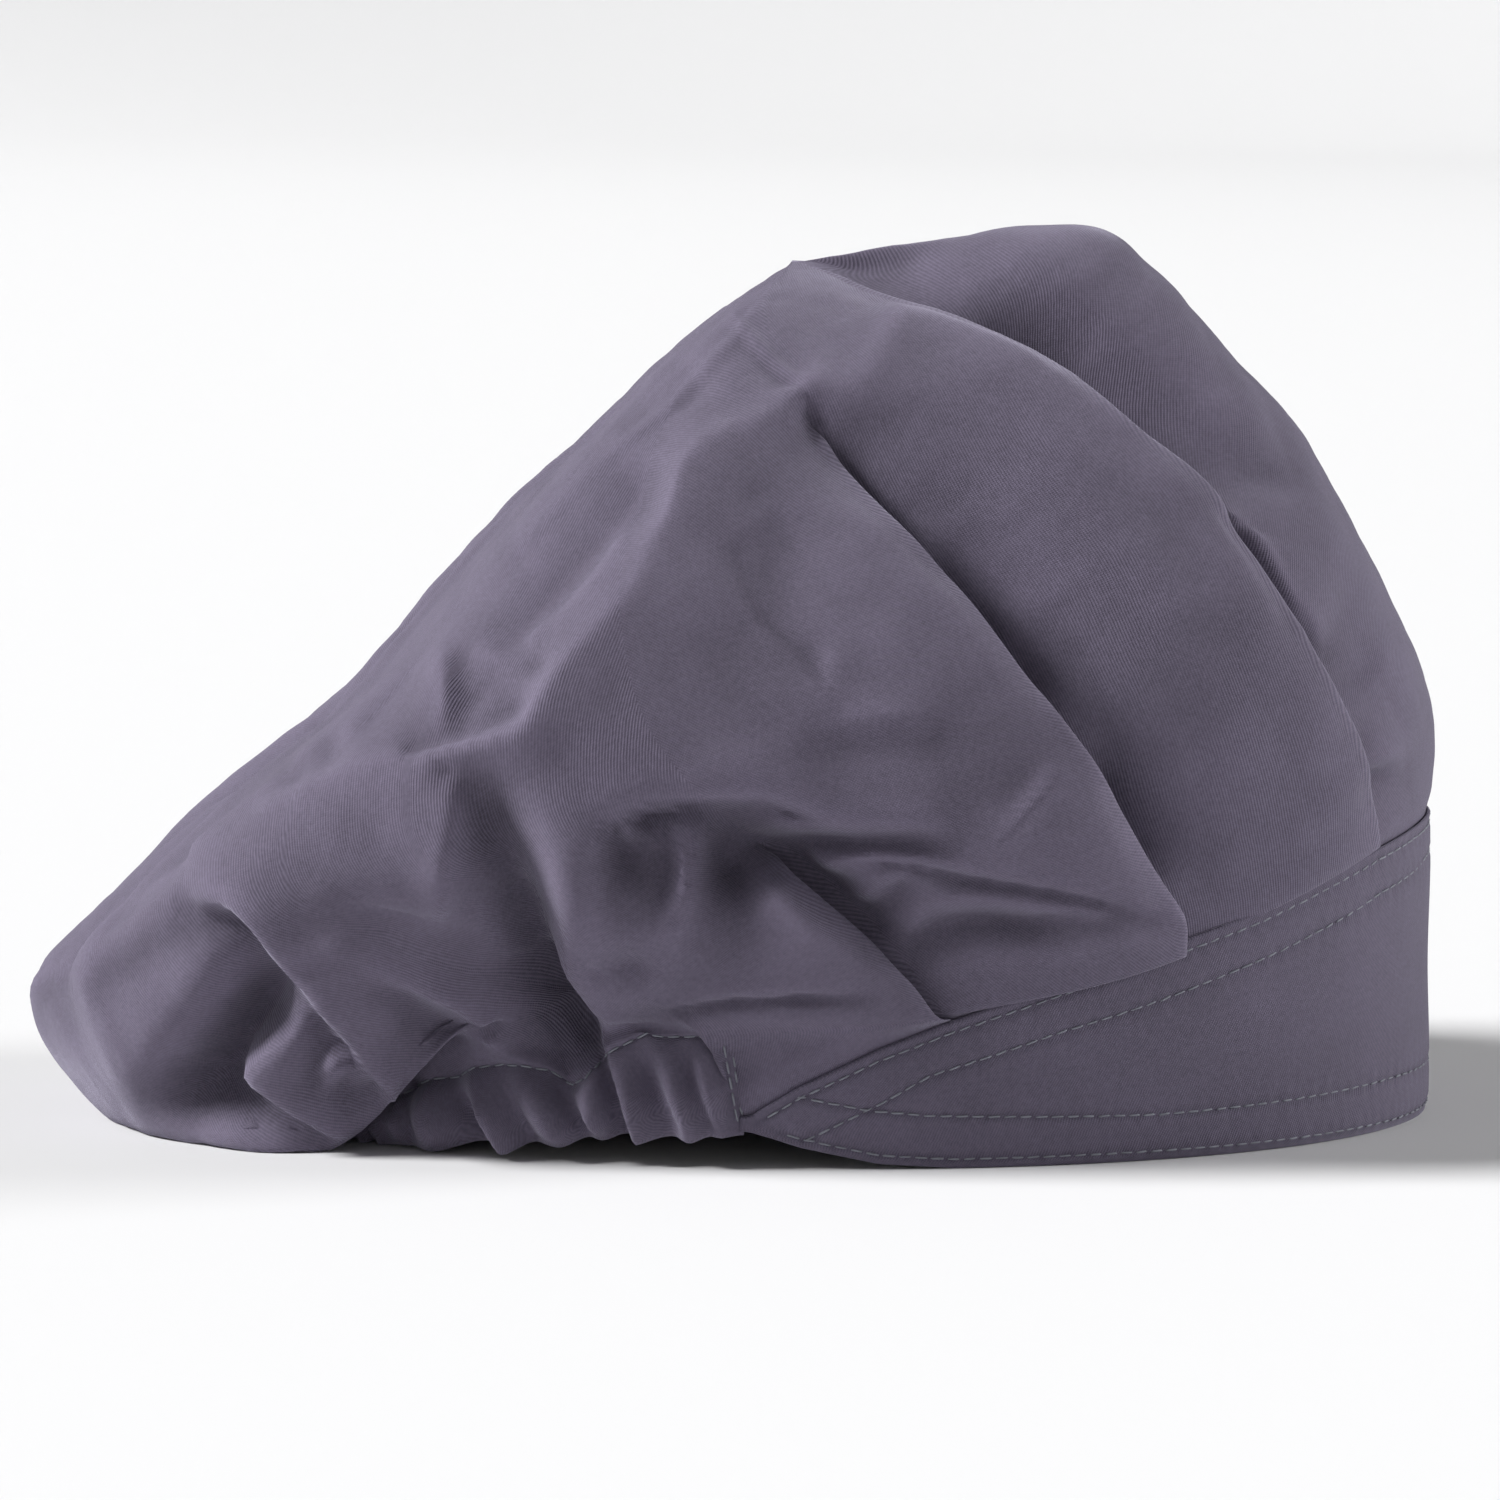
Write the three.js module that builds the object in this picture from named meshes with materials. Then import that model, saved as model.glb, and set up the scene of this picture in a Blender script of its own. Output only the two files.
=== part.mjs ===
// A bouffant cap of the kind worn in kitchens and operating theatres: a deep front band that
// tapers to a point at each ear, a pleated twill bag that holds the hair and hangs over behind,
// and a gathered elastic casing round the nape. Millimetres, +Z up, the front of the cap towards
// +X, standing on its rim at z = 0 as it lies on a table.
import * as THREE from "three";

// Walls, and the clearance between neighbouring pieces.
const CROWN_WALL = 1.5;
const BAND_WALL = 2.6;
const CASING_WALL = 2.4;
const CLEARANCE = 0.35;

// The head opening in plan: an oval, widest a little ahead of the ears.
const OPENING = { frontX: 139.2, backX: -91, widestX: 24, halfWidth: 77 };

// The front band's edges, from the forehead back to its point at the ear.
const BAND_EDGES = [
  { x: 139.2, topZ: 59.4, bottomZ: 0 },
  { x: 126.5, topZ: 55.7, bottomZ: 0 },
  { x: 102, topZ: 46.5, bottomZ: 0 },
  { x: 67, topZ: 36, bottomZ: 0 },
  { x: 42, topZ: 28, bottomZ: 0 },
  { x: 28, topZ: 22.6, bottomZ: 0.9 },
  { x: 13, topZ: 15.4, bottomZ: 4 },
  { x: 3.4, topZ: 9.5, bottomZ: 7 },
];

// The elastic casing's edges, from the ear back to the nape, where its lower edge turns inwards.
const CASING_EDGES = [
  { x: 3.4, topZ: 25, bottomZ: 7, turnedIn: 0 },
  { x: -16, topZ: 24, bottomZ: 5.6, turnedIn: 2 },
  { x: -30, topZ: 20.2, bottomZ: 4.6, turnedIn: 4 },
  { x: -44, topZ: 17.6, bottomZ: 2.8, turnedIn: 5 },
  { x: -58, topZ: 13.8, bottomZ: 1.4, turnedIn: 6 },
  { x: -75, topZ: 11, bottomZ: 1, turnedIn: 7 },
  { x: -91, topZ: 10, bottomZ: 1, turnedIn: 9 },
];

// Places round the opening, in degrees from the front: the band ends, the crown's edge steps up
// beside it, and the casing starts.
const BAND_END = 100.4;
const EDGE_STEP = { from: 101.4, to: 102 };
const CASING_START = 102.6;

// The casing's gathers, as ridge and valley in turn: their height, how far they lean forward at
// the lower edge in degrees, the wave of the hem, and how far up the bag they run on.
const GATHER = { count: 26, height: 1.5, lean: 3.5, hemWave: 0.8, runOut: 22 };
// The gathers grow to their full height over this many turns from the ear, and their lean grows
// and dies away over this many degrees at the ear and at the nape.
const GATHER_EASE = { turns: 3, degrees: 8 };

// The bag's form, level by level from the seam up: each ring passes through a front point, a side
// point and a back point. blunt under 1 squares its corners, and a pouch ring lies low behind.
const RINGS = [
  { frontX: 139.9, frontZ: 66, sideX: 21, sideY: 79.3, sideZ: 29, backX: -97, backZ: 15, blunt: 0.98 },
  { frontX: 140, frontZ: 73, sideX: 18, sideY: 81, sideZ: 37, backX: -107, backZ: 0, blunt: 0.95, pouch: true },
  { frontX: 138, frontZ: 86, sideX: 10, sideY: 85, sideZ: 50, backX: -125, backZ: 0, blunt: 0.9, pouch: true },
  { frontX: 130.6, frontZ: 102.5, sideX: 4, sideY: 87, sideZ: 66, backX: -140.5, backZ: 20, blunt: 0.85 },
  { frontX: 122.5, frontZ: 119, sideX: 0, sideY: 84, sideZ: 84, backX: -129.5, backZ: 35.3, blunt: 0.85 },
  { frontX: 111.8, frontZ: 137, sideX: 0, sideY: 77, sideZ: 103, backX: -109.5, backZ: 53, blunt: 0.9 },
  { frontX: 98.2, frontZ: 151.2, sideX: 2, sideY: 65, sideZ: 123, backX: -83, backZ: 73.5, blunt: 0.95 },
  { frontX: 84, frontZ: 167, sideX: 6, sideY: 48, sideZ: 143, backX: -56, backZ: 106, blunt: 1 },
  { frontX: 66, frontZ: 176, sideX: 10, sideY: 27, sideZ: 160, backX: -25.5, backZ: 135, blunt: 1 },
];
const CROWN_TOP = new THREE.Vector3(12, 0, 169);
// The pouch rings sink between these two turns to the back, as cosines.
const POUCH_TURN = { from: 0.45, to: 0.77 };
// The levels at which the bag has rows of points: level 0 is the seam, level 10 the crown's top.
const LEVELS = [
  0, 0.5, 1, 1.4, 1.8, 2.2, 2.6, 3, 3.4, 3.8, 4.2, 4.7, 5.2, 5.7, 6.2, 6.8, 7.4, 8, 8.6, 9.3, 10,
];

// Three pleats a side, laid backwards over the panel in front. Level by level: where each stands
// round the cap, how far its rear side is raised, and how far the cloth in front of it is sunk.
const PLEATS = [
  {
    name: "front pleat",
    at: [
      { level: 0, degrees: 27, raise: 0.4, sink: 0.3 },
      { level: 2, degrees: 30.4, raise: 2, sink: 2.5 },
      { level: 4, degrees: 34.1, raise: 4, sink: 4 },
      { level: 6, degrees: 36.8, raise: 4, sink: 4.5 },
      { level: 8, degrees: 47, raise: 3, sink: 4 },
      { level: 10, degrees: 80, raise: 0, sink: 0 },
    ],
  },
  {
    name: "middle pleat",
    at: [
      { level: 0, degrees: 56.6, raise: 0.4, sink: 0.3 },
      { level: 2, degrees: 57.5, raise: 2.5, sink: 4 },
      { level: 4, degrees: 62, raise: 3.5, sink: 5 },
      { level: 6, degrees: 68.4, raise: 3, sink: 4 },
      { level: 8, degrees: 84.2, raise: 0.5, sink: 0.5 },
      { level: 10, degrees: 105, raise: 0, sink: 0 },
    ],
  },
  {
    name: "rear pleat",
    at: [
      { level: 0, degrees: 80.4, raise: 0.4, sink: 0.3 },
      { level: 2, degrees: 83.2, raise: 1.5, sink: 3 },
      { level: 3.3, degrees: 88, raise: 1.5, sink: 5 },
      { level: 4.4, degrees: 92, raise: 0, sink: 0 },
      { level: 10, degrees: 115, raise: 0, sink: 0 },
    ],
  },
];
// Half the width of the step across a pleat, in degrees, and the columns of points on each panel
// and over the band's end, from the front back.
const PLEAT_HALF_STEP = 0.7;
const PANEL_COLUMNS = [6, 6, 5, 4];
// The rear pleat's raised side eases down to this angle, just past the band's end.
const REAR_EASE_END = 106.4;
// Behind the pleats the panels lean back as they rise, by this much at the crown's top.
const REAR_LEAN = 22;

// Soft folds of the bag, as paths x, z in the side view. A height acts on each side of the path,
// left and right as seen along it, and fades out over that side's reach.
const FOLDS = [
  {
    name: "shoulder",
    path: [[-114, 50], [-84, 67], [-42, 82], [-19, 106], [-8, 130], [14, 146]],
    left: { height: 2.5, reach: 22 },
    right: { height: 2.5, reach: 16 },
  },
  {
    name: "side hollow",
    path: [[-18, 62], [14, 65], [44, 64]],
    left: { height: -7.5, reach: 17 },
    right: { height: -7.5, reach: 14 },
  },
  {
    name: "rear trough",
    path: [[-54, 76], [-46, 58], [-38, 36], [-30, 20]],
    left: { height: -7, reach: 16 },
    right: { height: -7, reach: 16 },
  },
  {
    name: "nape fold",
    path: [[-104, 54], [-90, 48], [-77, 24], [-62, 8]],
    left: { height: 3.5, reach: 20 },
    right: { height: -6, reach: 30 },
  },
];
const FOLD_EDGE = 6; // a fold's two heights meet over this half width
const FOLD_ENDS = 0.3; // the share of a path over which its fold rises at either end
const SEAM_HOLD = { share: 0.1, reach: 20 }; // how much of a fold is left close to the seam
const FACING = { from: 0.15, to: 0.55 }; // folds fade where the cloth turns away from the side view
const SEAM_TURN = 12; // the bag's wall stands level at the seam and turns to its own slope above

// Rows of points up the band and up the casing.
const BAND_ROWS = 4;
const CASING_ROWS = 3;

const { sin, cos, abs, sign, min, max, hypot } = Math;
const { clamp, lerp, mapLinear, degToRad, euclideanModulo } = THREE.MathUtils;
const smooth = (from, to, value) => THREE.MathUtils.smoothstep(value, from, to);
const last = (list) => list[list.length - 1];

// The value of one column of a table at a key, between the rows on either side of it.
function lookUp(table, key, column, value) {
  const falling = table[0][key] > last(table)[key];
  const next = table.findIndex((row) => (falling ? row[key] <= value : row[key] >= value));
  if (next <= 0) return (next === 0 ? table[0] : last(table))[column];
  const [before, after] = [table[next - 1], table[next]];
  return mapLinear(value, before[key], after[key], before[column], after[column]);
}

// An angle in degrees folded onto one side of the cap: 0 at the front, 180 at the back.
function sideDegrees(degrees) {
  const turn = euclideanModulo(degrees, 360);
  return min(turn, 360 - turn);
}

// The opening's oval at an angle from the front, and its outward direction.
function openingPoint(degrees) {
  const [c, s] = [cos(degToRad(degrees)), sin(degToRad(degrees))];
  const reach = c >= 0 ? OPENING.frontX - OPENING.widestX : OPENING.widestX - OPENING.backX;
  const point = new THREE.Vector3(OPENING.widestX + reach * c, -OPENING.halfWidth * s, 0);
  const outward = new THREE.Vector3(c / reach, -s / OPENING.halfWidth, 0).normalize();
  return { point, outward };
}

// The height of the crown's lower edge: the band's top, a step at the ear, then the casing's top.
function crownEdgeZ(degrees) {
  const side = sideDegrees(degrees);
  const { x } = openingPoint(degrees).point;
  if (side <= BAND_END) return lookUp(BAND_EDGES, "x", "topZ", x);
  const stepped = smooth(EDGE_STEP.from, EDGE_STEP.to, side);
  return lerp(last(BAND_EDGES).topZ, lookUp(CASING_EDGES, "x", "topZ", x), stepped);
}

// The casing's gathers: ridges and valleys take turns, and calm down at its two ends.
function gatherHeight(degrees) {
  const side = sideDegrees(degrees);
  if (side <= CASING_START) return 0;
  const turn = ((side - CASING_START) / (180 - CASING_START)) * GATHER.count;
  const calm = smooth(0, GATHER_EASE.turns, turn);
  return GATHER.height * calm * (abs((turn % 2) - 1) * 2 - 1);
}

// A point of one of the bag's rings.
function ringPoint(ring, degrees) {
  const [c, s] = [cos(degToRad(degrees)), sin(degToRad(degrees))];
  const [endX, endZ] = c >= 0 ? [ring.frontX, ring.frontZ] : [ring.backX, ring.backZ];
  const drop = ring.pouch && c < 0 ? smooth(POUCH_TURN.from, POUCH_TURN.to, abs(c)) : c * c;
  return new THREE.Vector3(
    lerp(ring.sideX, endX, abs(c) ** ring.blunt),
    -ring.sideY * sign(s) * abs(s) ** ring.blunt,
    lerp(ring.sideZ, endZ, drop),
  );
}

// Where a column of the bag that starts at an angle on the seam stands at a level: columns keep
// beside their pleats as these lean back.
function leanedDegrees(seamDegrees, level) {
  const marks = [
    { seam: 0, now: 0 },
    ...PLEATS.map(({ at }) => ({ seam: at[0].degrees, now: lookUp(at, "level", "degrees", level) })),
    { seam: BAND_END, now: BAND_END + (REAR_LEAN * level) / RINGS.length },
    { seam: 180, now: 180 },
  ];
  const now = lookUp(marks, "seam", "now", sideDegrees(seamDegrees));
  return seamDegrees > 180 ? 360 - now : now;
}

// A height that is full at 0, flat there, and gone at a share of 1.
const fade = (share) => (share < 1 ? (1 - share) ** 2 * (1 + 2 * share) : 0);

// The height of the pleats at an angle on the seam and a level.
function pleatHeight(seamDegrees, level) {
  const side = sideDegrees(seamDegrees);
  const marks = [0, ...PLEATS.map(({ at }) => at[0].degrees), REAR_EASE_END];
  return PLEATS.reduce((height, { at }, index) => {
    const [ahead, here, behind] = marks.slice(index);
    const sunk = -lookUp(at, "level", "sink", level) * fade((here - side) / (here - ahead));
    const raised = lookUp(at, "level", "raise", level) * fade((side - here) / (behind - here));
    return height + (side < here ? sunk : raised);
  }, 0);
}

// How far a point of the side view stands to the left of a path, and how far along it.
function besidePath(path, x, z) {
  let nearest = { toLeft: Infinity };
  path.slice(1).forEach(([bx, bz], index) => {
    const [ax, az] = path[index];
    const [dx, dz] = [bx - ax, bz - az];
    const share = clamp(((x - ax) * dx + (z - az) * dz) / (dx * dx + dz * dz), 0, 1);
    const distance = hypot(x - ax - dx * share, z - az - dz * share);
    if (distance >= abs(nearest.toLeft)) return;
    const toLeft = dx * (z - az) > dz * (x - ax) ? distance : -distance;
    nearest = { toLeft, along: (index + share) / (path.length - 1) };
  });
  return nearest;
}

// The height of the soft folds at a point of the side view.
function foldHeight(x, z) {
  return FOLDS.reduce((sum, { path, left, right }) => {
    const { toLeft, along } = besidePath(path, x, z);
    const height = lerp(right.height, left.height, smooth(-FOLD_EDGE, FOLD_EDGE, toLeft));
    const { reach } = toLeft > 0 ? left : right;
    return sum + height * smooth(0, FOLD_ENDS, min(along, 1 - along)) * fade(abs(toLeft) / reach);
  }, 0);
}

// Outward directions of a ring-shaped grid of points, from each point's neighbours.
function gridNormals(grid) {
  const columns = grid[0].length;
  const at = (row, column) => grid[clamp(row, 0, grid.length - 1)][(column + columns) % columns];
  return grid.map((points, row) =>
    points.map((_, column) => {
      const across = at(row, column + 1).clone().sub(at(row, column - 1));
      const up = at(row + 1, column).clone().sub(at(row - 1, column));
      return up.cross(across).normalize();
    }),
  );
}

// A closed wall between an outer and an inner grid, rows by columns. Its columns close to a ring
// and its rows to two top points, or else it has four edges.
function wallGeometry(outer, inner, tops = []) {
  const rows = outer.length;
  const columns = outer[0].length;
  const isRing = tops.length > 0;
  const points = [...outer.flat(), ...inner.flat(), ...tops];
  const index = [];
  const out = (row, column) => row * columns + (column % columns);
  const back = (row, column) => rows * columns + out(row, column);
  const quad = (a, b, c, d) => index.push(a, b, c, a, c, d);
  const end = rows - 1;
  for (let column = 0; column < (isRing ? columns : columns - 1); column += 1) {
    const next = column + 1;
    for (let row = 0; row < end; row += 1) {
      quad(out(row, column), out(row + 1, column), out(row + 1, next), out(row, next));
      quad(back(row, column), back(row, next), back(row + 1, next), back(row + 1, column));
    }
    quad(out(0, column), out(0, next), back(0, next), back(0, column));
    if (isRing) {
      index.push(out(end, column), 2 * rows * columns, out(end, next));
      index.push(back(end, column), back(end, next), 2 * rows * columns + 1);
    } else {
      quad(out(end, column), back(end, column), back(end, next), out(end, next));
    }
  }
  const side = columns - 1;
  for (let row = 0; !isRing && row < end; row += 1) {
    quad(out(row, 0), back(row, 0), back(row + 1, 0), out(row + 1, 0));
    quad(out(row, side), out(row + 1, side), back(row + 1, side), back(row, side));
  }
  const geometry = new THREE.BufferGeometry().setFromPoints(points).setIndex(index);
  geometry.computeVertexNormals();
  return geometry;
}

// Columns turned into rows, and back.
const transpose = (grid) => grid[0].map((_, row) => grid.map((column) => column[row]));

// Steps from one value to another, both included.
const spread = (from, to, steps) =>
  Array.from({ length: steps + 1 }, (_, step) => lerp(from, to, step / steps));

// The far side's angles, mirrored from the near side's, so that the whole runs once round.
const mirrored = (near) => near.slice(1, -1).reverse().map((degrees) => 360 - degrees);

const casingDegrees = spread(CASING_START, 180, GATHER.count);

// The crown's columns on the near side: panel by panel between the pleats, then over the casing.
function crownDegrees() {
  const marks = [0, ...PLEATS.map(({ at }) => at[0].degrees), BAND_END];
  const overBand = PANEL_COLUMNS.flatMap((steps, panel) => {
    const from = marks[panel] + (panel > 0 ? PLEAT_HALF_STEP : 0);
    const to = marks[panel + 1] - (panel + 1 < marks.length - 1 ? PLEAT_HALF_STEP : 0);
    return spread(from, to, steps);
  });
  return [...overBand, EDGE_STEP.from, EDGE_STEP.to, ...casingDegrees];
}

// One column of the bag's smooth form: a curve from the seam over every ring to the crown's top.
function bagColumn(degrees) {
  const foot = openingPoint(degrees).point.setZ(crownEdgeZ(degrees) + CLEARANCE);
  const rings = RINGS.map((ring, index) => ringPoint(ring, leanedDegrees(degrees, index + 1)));
  const curve = new THREE.CatmullRomCurve3([foot, ...rings, CROWN_TOP], false, "catmullrom");
  return LEVELS.slice(0, -1).map((level) => {
    const point = curve.getPoint(level / last(LEVELS));
    return point.setZ(max(point.z, 0));
  });
}

// Outward directions on a grid of the bag: level at the seam, turning to the cloth's own above it.
function bagDirections(grid, columns) {
  const normals = gridNormals(grid);
  return grid.map((points, row) =>
    points.map((point, column) => {
      const turn = smooth(0, SEAM_TURN, point.distanceTo(grid[0][column]));
      return openingPoint(columns[column]).outward.lerp(normals[row][column], turn).normalize();
    }),
  );
}

// The height of everything that shapes the bag's cloth at one point of its smooth form.
function reliefHeight(point, foot, facing, degrees, level) {
  const rise = point.distanceTo(foot);
  const held = lerp(SEAM_HOLD.share, 1, smooth(0, SEAM_HOLD.reach, rise));
  const folds = foldHeight(point.x, point.z) * held * smooth(FACING.from, FACING.to, facing);
  const gathers = gatherHeight(degrees) * (1 - smooth(0, GATHER.runOut, rise));
  return pleatHeight(degrees, level) + folds + gathers;
}

// The bag with its pleats, folds and gathers, as one thin wall.
function crownGeometry() {
  const near = crownDegrees();
  const columns = [...near, ...mirrored(near)];
  const form = transpose(columns.map(bagColumn));
  const directions = bagDirections(form, columns);
  const outer = form.map((points, row) =>
    points.map((point, column) => {
      const direction = directions[row][column];
      const [foot, facing] = [form[0][column], abs(direction.y)];
      const height = reliefHeight(point, foot, facing, columns[column], LEVELS[row]);
      const shaped = point.clone().addScaledVector(direction, height);
      return shaped.setZ(max(shaped.z, 0));
    }),
  );
  const inward = bagDirections(outer, columns);
  const inner = outer.map((points, row) =>
    points.map((point, column) => {
      const inside = point.clone().addScaledVector(inward[row][column], -CROWN_WALL);
      return inside.setZ(row === 0 ? point.z : max(inside.z, CROWN_WALL));
    }),
  );
  const top = CROWN_TOP.clone();
  return wallGeometry(outer, inner, [top, top.clone().setZ(top.z - CROWN_WALL)]);
}

// A wall on the opening's oval, from columns that each give their outside points from the lower
// edge up and the outward direction at each of them.
function edgeWall(columns, wall) {
  const behind = (point, direction) => point.clone().addScaledVector(direction, -wall);
  const outer = columns.map(({ points }) => points);
  const inner = columns.map(({ points, directions }) =>
    points.map((point, row) => behind(point, directions[row])),
  );
  return wallGeometry(transpose(outer), transpose(inner));
}

// The front band: an upright wall, deep over the forehead and pointed at the ears.
function bandGeometry() {
  const marks = [0, ...PLEATS.map(({ at }) => at[0].degrees), BAND_END];
  const near = marks
    .slice(1)
    .flatMap((mark, panel) => spread(marks[panel], mark, PANEL_COLUMNS[panel]).slice(1));
  const far = near.map((degrees) => -degrees).reverse();
  const columns = [...far, 0, ...near].map((degrees) => {
    const { point, outward } = openingPoint(degrees);
    const low = lookUp(BAND_EDGES, "x", "bottomZ", point.x);
    const high = lookUp(BAND_EDGES, "x", "topZ", point.x);
    const points = spread(low, high, BAND_ROWS).map((z) => point.clone().setZ(z));
    return { points, directions: points.map(() => outward) };
  });
  return edgeWall(columns, BAND_WALL);
}

// The elastic casing: a gathered wall round the nape, its lower edge turned in towards the neck.
function casingGeometry() {
  const columns = [...casingDegrees, ...mirrored([0, ...casingDegrees])].map((degrees) => {
    const side = sideDegrees(degrees);
    const fromEnd = min(side - CASING_START, 180 - side);
    const calm = smooth(0, GATHER_EASE.degrees, fromEnd);
    const lean = GATHER.lean * calm * (degrees > 180 ? -1 : 1);
    const height = gatherHeight(degrees);
    const { outward } = openingPoint(degrees);
    const points = spread(0, 1, CASING_ROWS).map((share) => {
      const { point } = openingPoint(degrees - lean * (1 - share));
      const wave = sign(height) * GATHER.hemWave * calm;
      const hem = lookUp(CASING_EDGES, "x", "bottomZ", point.x) + wave;
      const turnedIn = lookUp(CASING_EDGES, "x", "turnedIn", point.x) * (1 - share);
      point.setZ(lerp(hem, crownEdgeZ(degrees), share));
      return point.addScaledVector(outward, height - turnedIn);
    });
    const slope = last(points).clone().sub(points[0]);
    const leaning = outward.clone().multiplyScalar(slope.z).setZ(-slope.dot(outward)).normalize();
    return { points, directions: points.map((_, row) => (row < CASING_ROWS ? leaning : outward)) };
  });
  return edgeWall(columns, CASING_WALL);
}

// One dyed twill makes every piece.
function piece(name, geometry, color) {
  const twill = new THREE.MeshStandardMaterial({ color, roughness: 0.88, metalness: 0 });
  const mesh = new THREE.Mesh(geometry, twill);
  mesh.name = name;
  return mesh;
}

const cap = new THREE.Group();
cap.add(piece("crown", crownGeometry(), 0x6a6276));
cap.add(piece("front_band", bandGeometry(), 0x5a5464));
cap.add(piece("elastic_casing", casingGeometry(), 0x625b6d));

export default cap;
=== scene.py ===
# %% [markdown]
# # A bouffant cap in dyed twill
# The cap stands empty on its rim. A deep folded band runs round the forehead and comes to a point
# at each ear. Above it is a big soft bag of cloth with three pleats a side, and behind the ears
# the bag is gathered into a narrow casing with elastic inside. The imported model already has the
# right size and place, so this lesson only makes the cloth: its folds, edges, stitches and weave.

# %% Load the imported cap
import math

import bpy
import numpy as np
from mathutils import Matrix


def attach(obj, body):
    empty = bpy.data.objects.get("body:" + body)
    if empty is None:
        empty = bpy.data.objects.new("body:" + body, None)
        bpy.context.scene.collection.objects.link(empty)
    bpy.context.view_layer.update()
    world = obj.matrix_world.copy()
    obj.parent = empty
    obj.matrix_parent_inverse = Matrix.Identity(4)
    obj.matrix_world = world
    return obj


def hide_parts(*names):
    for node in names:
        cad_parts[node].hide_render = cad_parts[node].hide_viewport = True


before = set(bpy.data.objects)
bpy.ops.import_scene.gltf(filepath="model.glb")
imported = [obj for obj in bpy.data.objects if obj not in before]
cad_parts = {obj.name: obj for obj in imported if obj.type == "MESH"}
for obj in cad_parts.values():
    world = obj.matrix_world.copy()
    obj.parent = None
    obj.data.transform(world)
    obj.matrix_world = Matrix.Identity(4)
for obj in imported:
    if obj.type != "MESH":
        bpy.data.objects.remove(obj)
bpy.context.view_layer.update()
MM = 0.001

# %% [markdown]
# ## The view
# The photograph looks at the cap's right side from a little above, through a long lens. A camera
# 1.3 m away with a 156 mm lens gives the same weak perspective. It looks down by 6.5 degrees.

# %% Set up the camera
VIEW_TILT = math.radians(6.5)
VIEW_TARGET = (0.0036, 0.0, 0.07125)
VIEW_DISTANCE = 1.3
LENS_MM = 156

camera = bpy.data.objects.new("camera", bpy.data.cameras.new("camera"))
bpy.context.collection.objects.link(camera)
camera.data.lens = LENS_MM
camera.data.sensor_width = 36
camera.location = (
    VIEW_TARGET[0],
    VIEW_TARGET[1] - VIEW_DISTANCE * math.cos(VIEW_TILT),
    VIEW_TARGET[2] + VIEW_DISTANCE * math.sin(VIEW_TILT),
)
camera.rotation_euler = (math.pi / 2 - VIEW_TILT, 0, 0)
camera.data.clip_end = 100
bpy.context.scene.camera = camera
print("camera at", [round(v, 3) for v in camera.location])

# %% [markdown]
# ## The studio
# A pale round sweep whose rim curves up far behind the cap, so that no corner or horizon shows
# from any side. The key lamp is a sun at the picture's left, about 38 degrees up: it rakes along
# the near side, which is what makes folds and weave show. A second sun, low at the right, lights
# the front. Their wide discs and a little white room light keep the shadows soft.

# %% Build the sweep and the lights
def plain_material(name, color, roughness):
    material = bpy.data.materials.new(name)
    material.use_nodes = True
    shader = material.node_tree.nodes["Principled BSDF"]
    shader.inputs["Base Color"].default_value = (*color, 1)
    shader.inputs["Roughness"].default_value = roughness
    return material


def round_sweep(name, flat_radius, bend, sides=96, steps=16):
    """A round floor whose rim bends up through a quarter circle."""
    turn = np.arange(sides) / sides * 2 * math.pi
    points = [(0, 0, 0)]
    for lift in np.linspace(0, math.pi / 2, steps):
        radius = flat_radius + bend * math.sin(lift)
        height = bend * (1 - math.cos(lift))
        points += [(radius * math.cos(t), radius * math.sin(t), height) for t in turn]
    faces = [(0, 1 + k, 1 + (k + 1) % sides) for k in range(sides)]
    for step in range(steps - 1):
        start = 1 + step * sides
        for k in range(sides):
            after = (k + 1) % sides
            faces.append((start + k, start + sides + k, start + sides + after, start + after))
    mesh = bpy.data.meshes.new(name)
    mesh.from_pydata(points, [], faces)
    mesh.shade_smooth()
    piece = bpy.data.objects.new(name, mesh)
    bpy.context.collection.objects.link(piece)
    return piece


def wide_sun(name, towards, strength, disc_degrees):
    """A sun that shines from the given direction."""
    lamp = bpy.data.objects.new(name, bpy.data.lights.new(name, "SUN"))
    bpy.context.collection.objects.link(lamp)
    lamp.data.energy = strength
    lamp.data.angle = math.radians(disc_degrees)
    x, y, z = towards
    lamp.rotation_euler = (math.atan2(math.hypot(x, y), z), 0, math.atan2(y, x) + math.pi / 2)
    return lamp


sweep = round_sweep("sweep", flat_radius=9.0, bend=3.0)
sweep.data.materials.append(plain_material("pale sweep", (0.74, 0.74, 0.745), 0.95))
wide_sun("key sun", (-0.79, -0.06, 0.61), 4.75, 16)
wide_sun("front lamp", (0.95, 0.10, 0.25), 4.2, 18)

ROOM_LIGHT = 0.13
world = bpy.data.worlds.new("white room")
bpy.context.scene.world = world
world.use_nodes = True
world.node_tree.nodes["Background"].inputs["Color"].default_value = (1, 1, 1, 1)
world.node_tree.nodes["Background"].inputs["Strength"].default_value = ROOM_LIGHT
bpy.context.scene.view_settings.view_transform = "Standard"

# %% [markdown]
# ## Helpers for making cloth
# Every piece of cloth here is a grid of points, rows by columns, in millimetres. That way a fold
# is only a height added to some of the points. These helpers ease one value into another, read
# short tables, and turn grids into meshes.

# %% Small helpers
def smooth(low, high, value):
    share = np.clip((np.asarray(value, float) - low) / (high - low), 0.0, 1.0)
    return share * share * (3.0 - 2.0 * share)


def fade(share):
    """Full at 0, flat there, and gone at 1."""
    share = np.clip(share, 0.0, 1.0)
    return (1.0 - share) ** 2 * (1.0 + 2.0 * share)


def table(names, rows):
    return dict(zip(names.split(), np.array(rows, float).T))


def look_up(rows, key, value, name):
    order = np.argsort(rows[key])
    return np.interp(value, rows[key][order], rows[name][order])


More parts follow.
